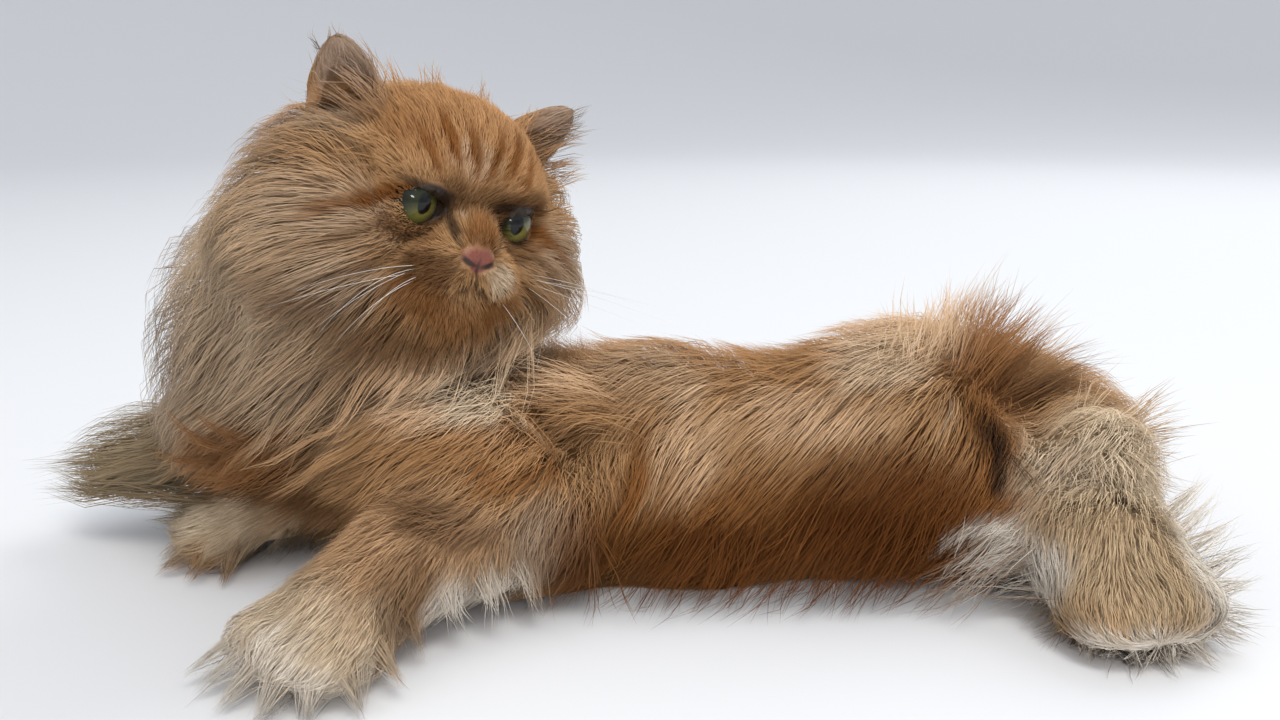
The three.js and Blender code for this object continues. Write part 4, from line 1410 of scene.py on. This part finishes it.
locks = {
    "segments": 8,
    "wispShare": 0.35,
    "wispGather": 0.26,
    "depthSpread": (0.6, 1.0),
    "strayShare": 0.07,
    "toneSpread": 0.13,
    "hairToneSpread": 0.17,
    "scatter": 0.22,  # how far a hair may reach for its guide, in lock widths
    "lengthSpread": (0.55, 1.15),
    "gatherSpread": (0.5, 1.3),
    "wispSpread": (0.4, 1.2),
    "mostGathered": 0.97,
    "drawnIn": 0.85,  # how far the roots' spread is lost at the tip
    "frizz": 0.42,
}
growth = {
    "rootSink": 0.3,  # the root is this far under the skin
    "overSkin": 0.4,
    "depthJitter": 0.16,
    "shallowest": 0.3,
    "earlyRise": 1.5,
    "riseLimits": (-0.5, 0.8),  # in steps
}
short = growTufts("tuft", [*bodyTufts.values(), *(toWorld(group) for group in headTufts.values())])
long = growTufts("longTuft", longTufts.values())
tuftLines = np.concatenate([short[0], long[0]])
roots = np.concatenate([roots, short[1], long[1]])
rootNormals = np.concatenate([rootNormals, short[2], long[2]])
rootRegions = np.concatenate([rootRegions, short[3], long[3]])
_, traits, _ = combAt(roots)
hair = dict(zip(traitNames, traits.T))
hair["length"] = hair["length"] * chance.uniform(*locks["lengthSpread"], len(roots))
for name in ("tuft", "longTuft"):
    hair["width"][rootRegions == list(regions).index(name)] = regions[name]["width"]
print("roots:", len(roots), "of them in tufts:", len(roots) - bodyRoots)


# Locks: some hairs are guides, and each other hair leans towards the guide whose root is nearest
def findGuides(share):
    guideOf = np.arange(len(roots))
    guides = []
    for number, name in enumerate(regions):
        members = np.nonzero(rootRegions == number)[0]
        order = chance.permutation(members)
        cells = np.floor(roots[order] / (regions[name]["lock"] * share)).astype(int)
        _, first = np.unique(cells, axis=0, return_index=True)
        guides.extend(order[first])
    tree = KDTree(len(guides))
    for index in guides:
        tree.insert(Vector(roots[index]), int(index))
    tree.balance()
    lock = np.array([region["lock"] for region in regions.values()])[rootRegions]
    nearby = roots + chance.normal(0, locks["scatter"], (len(roots), 3)) * (lock * share)[:, None]
    for index, place in enumerate(nearby):
        guideOf[index] = tree.find(Vector(place))[1]
    guideOf[guides] = guides
    return guideOf


guideOf = findGuides(1)
wispOf = findGuides(locks["wispShare"])
print("locks:", len(np.unique(guideOf)), "wisps:", len(np.unique(wispOf)))


def growPaths():
    segments = locks["segments"]
    low, high = locks["depthSpread"]
    jitter = growth["depthJitter"]
    height = chance.uniform(low, high, len(roots))[guideOf] + chance.uniform(-jitter, jitter, len(roots))
    height = np.clip(height, growth["shallowest"], 1.0)
    place = roots + rootNormals * 0.1
    start, _ = lookUp(coatGrid, roots)
    start = np.minimum(start, -0.5)
    paths = [roots - rootNormals * growth["rootSink"]]
    lowest, highest = growth["riseLimits"]
    step = hair["length"] / segments
    for k in range(1, segments + 1):
        share = k / segments
        ways, _, _ = combAt(place)
        value, slope = lookUp(coatGrid, place)
        out = unit(slope)
        flat = unit(ways - (ways * out).sum(1, keepdims=True) * out)
        wanted = start * (1 - height * smooth(np.array(share * growth["earlyRise"])))
        rise = np.clip(wanted - value, lowest * step, highest * step)
        place = place + flat * np.sqrt(step**2 - rise**2)[:, None] + out * rise[:, None]
        under, away = lookUp(bareGrid, place)
        place = place + unit(away) * np.maximum(growth["overSkin"] - under, 0)[:, None]
        paths.append(place)
    return np.stack(paths, 1)


def waveAndGather(paths):
    segments = locks["segments"]
    share = np.linspace(0, 1, segments + 1)
    along = unit(np.gradient(paths, axis=1))
    _, slope = lookUp(coatGrid, paths.reshape(-1, 3))
    out = unit(slope).reshape(paths.shape)
    side = unit(np.cross(along, out))
    count = len(paths)
    phase = chance.uniform(0, 2 * math.pi, (2, count))[:, guideOf] + chance.normal(0, 0.35, (2, count))
    turns = chance.uniform(0.5, 1.2, count)[guideOf]
    angle = 2 * math.pi * turns[:, None] * share
    reach = hair["wave"][:, None] * share
    bend = np.sin(angle + phase[0][:, None]) - np.sin(phase[0][:, None])
    lift = np.sin(angle * 1.2 + phase[1][:, None]) - np.sin(phase[1][:, None])
    paths = paths + side * (reach * bend)[..., None] + out * (0.35 * reach * lift)[..., None]
    paths = leanTo(paths, guideOf, hair["gather"] * chance.uniform(*locks["gatherSpread"], count)[guideOf])
    paths = leanTo(paths, wispOf, locks["wispGather"] * chance.uniform(*locks["wispSpread"], count)[wispOf])
    frizz = (0.5 + hair["wave"][:, None]) * locks["frizz"] * share**2
    return paths + chance.normal(0, 1, (count, 3))[:, None] * frizz[..., None]


def leanTo(paths, leaders, strength):
    segments = locks["segments"]
    share = np.linspace(0, 1, segments + 1)
    ratio = np.clip(hair["length"] / hair["length"][leaders], 0.5, 1.1)
    at = np.clip(share[None] * ratio[:, None] * segments, 0, segments - 1e-6)
    first = at.astype(int)
    part = (at - first)[..., None]
    leader = paths[leaders]
    rows = np.arange(len(paths))[:, None]
    along = leader[rows, first] * (1 - part) + leader[rows, first + 1] * part
    offset = (roots - roots[leaders])[:, None] * (1 - locks["drawnIn"] * share)[None, :, None]
    pull = strength.clip(0, locks["mostGathered"])[:, None] * smooth(share)[None]
    return paths + pull[..., None] * (along + offset - paths)


def keepInside(paths):
    count, rings, _ = paths.shape
    straying = (chance.random(count) < locks["strayShare"])[guideOf]
    straying = straying | (chance.random(count) < locks["strayShare"])
    share = np.linspace(0, 1, rings)
    spare = np.where(straying, hair["stray"], 0.12 * hair["stray"])[:, None] * share**1.5
    spare = spare * chance.uniform(0.3, 1, count)[:, None]
    flat = paths.reshape(-1, 3)
    for _ in range(2):
        value, slope = lookUp(coatGrid, flat)
        out = unit(slope)
        flat = flat - out * np.maximum(value - spare.ravel(), 0)[:, None]
        under, away = lookUp(bareGrid, flat)
        flat = flat + unit(away) * np.maximum(0.3 - under, 0)[:, None]
        flat[:, 2] = np.maximum(flat[:, 2], 0.4)
    kept = flat.reshape(paths.shape)
    kept[:, 0] = paths[:, 0]
    return kept


paths = keepInside(waveAndGather(growPaths()))
paths[bodyRoots:] = tuftLines
markPlaces = paths[:, locks["segments"] // 2]  # a hair takes its colour from where its middle lies
print("paths grown")

# A map of the skin's own shape, for the place of each tuft's patch on the bake
bake = {"cell": 6.0, "patch": 0.003, "islandAngle": 66, "islandGap": 0.004}


def rootMap():
    vertices, quads = netOf(gridOf(skinField, skin["low"], skin["high"], bake["cell"]))
    mesh = meshOf("unwrap", vertices, quads)
    helper = bpy.data.objects.new("unwrap", mesh)
    bpy.context.scene.collection.objects.link(helper)
    bpy.context.view_layer.objects.active = helper
    helper.select_set(True)
    bpy.ops.object.mode_set(mode="EDIT")
    bpy.ops.mesh.select_all(action="SELECT")
    bpy.ops.uv.smart_project(angle_limit=math.radians(bake["islandAngle"]), island_margin=bake["islandGap"])
    bpy.ops.object.mode_set(mode="OBJECT")
    triangles = trianglesOf(mesh)
    loops = np.empty(len(mesh.loop_triangles) * 3, np.int32)
    mesh.loop_triangles.foreach_get("loops", loops)
    flat = np.empty(len(mesh.loops) * 2, np.float32)
    mesh.uv_layers[0].data.foreach_get("uv", flat)
    corners = flat.reshape(-1, 2)[loops.reshape(-1, 3)]
    points = placesOf(mesh).astype(float)
    surface = BVHTree.FromPolygons([tuple(p) for p in points], [tuple(t) for t in triangles.tolist()])
    found = np.array([surface.find_nearest(Vector(root))[2] for root in roots])
    a, b, c = (points[triangles[found, k]] for k in range(3))
    e, f, g = b - a, c - a, roots - a
    ee, ef, ff = (e * e).sum(1), (e * f).sum(1), (f * f).sum(1)
    ge, gf = (g * e).sum(1), (g * f).sum(1)
    size = np.maximum(ee * ff - ef * ef, 1e-9)
    v = np.clip((ff * ge - ef * gf) / size, 0, 1)
    w = np.clip((ee * gf - ef * ge) / size, 0, 1)
    uv = corners[found]
    placed = uv[:, 0] * (1 - v - w)[:, None] + uv[:, 1] * v[:, None] + uv[:, 2] * w[:, None]
    bpy.data.objects.remove(helper)
    return placed


rootUv = rootMap()
print("unwrap read")

# A hair is a three-sided blade, closed at its root, that narrows to its tip
blade = {"thickness": 0.4, "rootWidth": 0.55, "widest": 0.3, "softness": 0.9, "widthSpread": (0.7, 1.3)}
lockTone = np.clip(0.5 + chance.normal(0, locks["toneSpread"], len(roots))[guideOf], 0, 1)
tones = np.clip(lockTone + chance.normal(0, locks["hairToneSpread"], len(roots)), 0, 1)


def bladeMesh(members, rings):
    share = np.linspace(0, 1, rings + 1)
    at = share * locks["segments"]
    first = np.minimum(at.astype(int), locks["segments"] - 1)
    part = (at - first)[None, :, None]
    spine = paths[members][:, first] * (1 - part) + paths[members][:, first + 1] * part
    along = unit(np.gradient(spine, axis=1))
    _, slope = lookUp(coatGrid, spine.reshape(-1, 3))
    out = unit(slope).reshape(spine.shape)
    side = unit(np.cross(along, out))
    up = np.cross(side, along)
    width = hair["width"][members] * chance.uniform(*blade["widthSpread"], len(members))
    grown = smooth(share / blade["widest"]) * (1 - blade["rootWidth"]) + blade["rootWidth"]
    profile = grown * np.sqrt(np.clip(1 - share**2.2, 0, 1))
    half = (width[:, None] * profile[None] / 2)[:, :rings, None]
    ringPoints = [spine[:, :rings] - side[:, :rings] * half, spine[:, :rings] + side[:, :rings] * half]
    ringPoints.append(spine[:, :rings] + up[:, :rings] * half * 2 * blade["thickness"])
    body = np.stack(ringPoints, 2).reshape(len(members), rings * 3, 3)
    vertices = np.concatenate([body, spine[:, rings:]], 1)
    tilt = np.stack([-side[:, :rings], side[:, :rings], up[:, :rings] * 1.2], 2).reshape(body.shape)
    tilt = np.concatenate([tilt, along[:, rings:]], 1)
    ringShare = np.append(np.repeat(share[:rings], 3), 1)
    outwards = np.concatenate([np.repeat(out[:, :rings], 3, 1), out[:, rings:]], 1)
    normals = unit(tilt * (1 - blade["softness"]) + outwards * blade["softness"])
    each = rings * 3 + 1
    faces = [(0, 1, 2)]
    for ring in range(rings):
        for a, b in ((1, 0), (2, 1), (0, 2)):
            near, far = ring * 3, ring * 3 + 3
            if ring == rings - 1:
                faces.append((near + a, near + b, each - 1))
            else:
                faces.append((near + a, near + b, far + b))
                faces.append((near + a, far + b, far + a))
    faces = (np.array(faces)[None] + each * np.arange(len(members))[:, None, None]).reshape(-1, 3)
    acrossShare = np.append(np.tile([-0.5, 0.5, 0], rings), 0)
    uv = rootUv[members][:, None] + bake["patch"] * np.stack([acrossShare * 0.9, ringShare - 0.5], 1)[None]
    return {
        "vertices": vertices.reshape(-1, 3),
        "faces": faces,
        "normals": normals.reshape(-1, 3),
        "along": np.tile(ringShare, len(members)),
        "tone": np.repeat(tones[members], each),
        "mark": np.repeat(markPlaces[members], each, 0),
        "uv": uv.reshape(-1, 2),
    }


def coatPiece(name, regionNames, material):
    numbers = [list(regions).index(region) for region in regionNames]
    batches = [
        bladeMesh(np.nonzero(rootRegions == number)[0], regions[region]["rings"])
        for number, region in zip(numbers, regionNames)
    ]
    starts = np.cumsum([0] + [len(batch["vertices"]) for batch in batches])
    whole = {key: np.concatenate([batch[key] for batch in batches]) for key in batches[0] if key != "faces"}
    faces = np.concatenate([batch["faces"] + start for batch, start in zip(batches, starts)])
    mesh = meshOf(name, whole["vertices"], faces)
    setAttribute(mesh, "markPlace", whole["mark"] * metre)
    setAttribute(mesh, "alongHair", whole["along"])
    setAttribute(mesh, "hairTone", whole["tone"])
    layer = mesh.uv_layers.new(name="OFBake")
    layer.data.foreach_set("uv", whole["uv"][faces.ravel()].astype(np.float32).ravel())
    mesh.normals_split_custom_set_from_vertices(whole["normals"].astype(np.float32))
    pieceOf(name, mesh, material)
    print(name, "triangles", len(faces))
    return len(faces)


coatLook = coatMaterial()
coatTotal = sum(coatPiece(name, names, coatLook) for name, (slot, names) in coatPieces.items())
print("coat triangles:", coatTotal)

# Whiskers: thin tapered rods along paths from the muzzle, swept by Geometry Nodes
whiskers = {
    "thickness": 0.25,
    "tipShare": 0.15,
    "sides": 6,
    "points": 18,
    "colour": (0.86, 0.83, 0.77, 1),
    "dullShare": 0.82,
    "paths": [
        [(-93, -105, 157), (-104, -122, 159), (-125, -121, 135)],
        [(-99, -104, 152), (-113, -127, 156), (-142, -132, 147)],
        [(-97, -105, 156), (-104, -123, 154), (-125, -124, 138)],
        [(-93, -103, 149), (-104, -119, 149), (-121, -115, 129)],
        [(-90, -105, 152), (-98, -118, 154), (-113, -116, 134)],
        [(-91, -105, 160), (-105, -125, 162), (-129, -133, 154)],
        [(-44, -59, 143), (-8, -102, 144), (26, -112, 131)],
        [(-43, -57, 139), (-14, -96, 139), (10, -106, 131)],
        [(-45, -61, 146), (-22, -96, 150), (0, -108, 143)],
        [(-45, -60, 138), (-28, -96, 136), (-14, -104, 122)],
        [(-42, -57, 142), (-10, -97, 146), (17, -104, 139)],
        [(-55, -73, 131), (-46, -97, 128), (-42, -98, 116)],
    ],
}


def whiskerTree(material):
    tree = bpy.data.node_groups.new("whiskers", "GeometryNodeTree")
    addSockets(tree, "INPUT", Paths="Geometry", Thickness="Float", Tip_Share="Float", Sides="Int")
    addSockets(tree, "OUTPUT", Whiskers="Geometry")
    given = nodeIn(tree, "NodeGroupInput")
    lines = fed(tree, "GeometryNodeMeshToCurve", {"Mesh": given.outputs["Paths"]}).outputs["Curve"]
    along = nodeIn(tree, "GeometryNodeSplineParameter").outputs["Factor"]
    thinning = {"Value": along, "To Min": 1, "To Max": given.outputs["Tip Share"]}
    taper = fed(tree, "ShaderNodeMapRange", thinning).outputs["Result"]
    curve = fed(tree, "GeometryNodeSetCurveRadius", {"Curve": lines, "Radius": taper}).outputs["Curve"]
    halved = {0: given.outputs["Thickness"], 1: 0.5}
    half = fed(tree, "ShaderNodeMath", halved, operation="MULTIPLY").outputs[0]
    ring = {"Resolution": given.outputs["Sides"], "Radius": half}
    profile = fed(tree, "GeometryNodeCurvePrimitiveCircle", ring).outputs["Curve"]
    sweep = {"Curve": curve, "Profile Curve": profile, "Fill Caps": True}
    swept = fed(tree, "GeometryNodeCurveToMesh", sweep)
    if "Scale" in swept.inputs:
        link(tree, taper, swept.inputs["Scale"])
    real = fed(tree, "GeometryNodeRealizeInstances", {"Geometry": swept.outputs["Mesh"]})
    dressed = {"Geometry": real.outputs["Geometry"], "Material": material}
    finish = fed(tree, "GeometryNodeSetMaterial", dressed)
    fed(tree, "NodeGroupOutput", {"Whiskers": finish.outputs["Geometry"]})
    return tree


def makeWhiskers():
    material, tree, shader = newMaterial("whisker", Roughness=0.35, Specular_IOR_Level=0.5)
    grain = noiseOn(tree, objectPlace(tree), 400)
    white = whiskers["colour"]
    duller = tuple(whiskers["dullShare"] * part for part in white)
    link(tree, mixColours(tree, grain, duller, white), shader.inputs["Base Color"])
    share = np.linspace(0, 1, whiskers["points"])[:, None]
    points, edges = [], []
    for start, middle, end in whiskers["paths"]:
        hit = skinTree.find_nearest(Vector(start))
        start = np.array(hit[0] - 0.5 * hit[1])
        middle, end = np.array(middle), np.array(end)
        line = start * (1 - share) ** 2 + 2 * middle * share * (1 - share) + end * share**2
        first = len(points)
        points.extend((line * metre).tolist())
        edges.extend((first + k, first + k + 1) for k in range(whiskers["points"] - 1))
    lines = bpy.data.meshes.new("whiskerPaths")
    lines.from_pydata(points, edges, [])
    holder = bpy.data.objects.new("whiskerPaths", lines)
    bpy.context.scene.collection.objects.link(holder)
    modifier = holder.modifiers.new("whiskers", "NODES")
    modifier.node_group = whiskerTree(material)
    sizes = {
        "Thickness": whiskers["thickness"] * metre,
        "Tip Share": whiskers["tipShare"],
        "Sides": whiskers["sides"],
    }
    for socket in modifier.node_group.interface.items_tree:
        if socket.name in sizes:
            modifier[socket.identifier] = sizes[socket.name]
    mesh = bpy.data.meshes.new_from_object(holder.evaluated_get(bpy.context.evaluated_depsgraph_get()))
    bpy.data.objects.remove(holder)
    mesh.materials.clear()
    mesh.polygons.foreach_set("use_smooth", np.ones(len(mesh.polygons), bool))
    pieceOf("whiskers", mesh, material)
    print("whiskers:", len(whiskers["paths"]), "faces", len(mesh.polygons))


makeWhiskers()

# Studio
studio = {
    "floor": (0.74, 0.74, 0.75),
    "flatReach": 3.0,  # the floor is flat this far out, and then sweeps up
    "sweep": 3.5,
    "sky": (0.90, 0.94, 1.0),
    "skyStrength": 0.75,
    "lightsAimAt": (0, 0, 0.08),
    "lights": {
        "key": {"at": (0.5, -1.3, 2.6), "size": 1.1, "power": 39, "colour": (1, 0.98, 0.94)},
        "glint": {"at": (0.19, -1.43, 0.77), "size": 0.2, "power": 3, "colour": (1, 1, 1)},
        "side": {"at": (-2.2, -1.8, 1.6), "size": 2.0, "power": 11, "colour": (0.95, 0.97, 1)},
        "back": {"at": (1.5, 1.8, 2.2), "size": 1.8, "power": 34, "colour": (0.95, 0.98, 1)},
    },
    "camera": {"at": (0, -0.5535, 0.232), "tilt": 76, "lens": 32, "sensor": 36},
}


def makeStudio():
    turns = np.linspace(0, 2 * math.pi, 96, endpoint=False)
    arc = np.linspace(0, math.radians(80), 16)
    reach = [0.5, 1.5, *(studio["flatReach"] + studio["sweep"] * np.sin(arc))]
    height = [0, 0, *(studio["sweep"] * (1 - np.cos(arc)))]
    points = [(0, 0, 0)]
    points += [(r * math.cos(turn), r * math.sin(turn), z) for r, z in zip(reach, height) for turn in turns]
    count = len(turns)
    faces = [(0, 1 + k, 1 + (k + 1) % count) for k in range(count)]
    for ring in range(len(reach) - 1):
        near, far = 1 + ring * count, 1 + (ring + 1) * count
        faces += [(near + k, far + k, far + (k + 1) % count, near + (k + 1) % count) for k in range(count)]
    mesh = bpy.data.meshes.new("floor")
    mesh.from_pydata(points, [], faces)
    mesh.polygons.foreach_set("use_smooth", np.ones(len(mesh.polygons), bool))
    floor = bpy.data.objects.new("floor", mesh)
    bpy.context.scene.collection.objects.link(floor)
    material, _, _ = newMaterial("paleFloor", Roughness=0.9, Base_Color=(*studio["floor"], 1))
    mesh.materials.append(material)
    world = bpy.data.worlds.new("studio")
    world.use_nodes = True
    world.node_tree.nodes["Background"].inputs[0].default_value = (*studio["sky"], 1)
    world.node_tree.nodes["Background"].inputs[1].default_value = studio["skyStrength"]
    bpy.context.scene.world = world
    bpy.context.scene.view_settings.view_transform = "Standard"
    target = Vector(studio["lightsAimAt"])
    for name, light in studio["lights"].items():
        data = bpy.data.lights.new(name, "AREA")
        data.size = light["size"]
        data.energy = light["power"]
        data.color = light["colour"]
        lamp = bpy.data.objects.new(name, data)
        lamp.location = light["at"]
        lamp.rotation_euler = (target - lamp.location).to_track_quat("-Z", "Y").to_euler()
        bpy.context.scene.collection.objects.link(lamp)
    view = studio["camera"]
    data = bpy.data.cameras.new("camera")
    data.lens = view["lens"]
    data.sensor_width = view["sensor"]
    camera = bpy.data.objects.new("camera", data)
    camera.location = view["at"]
    camera.rotation_euler = (math.radians(view["tilt"]), 0, 0)
    bpy.context.scene.collection.objects.link(camera)
    bpy.context.scene.camera = camera


makeStudio()
print("studio ready")
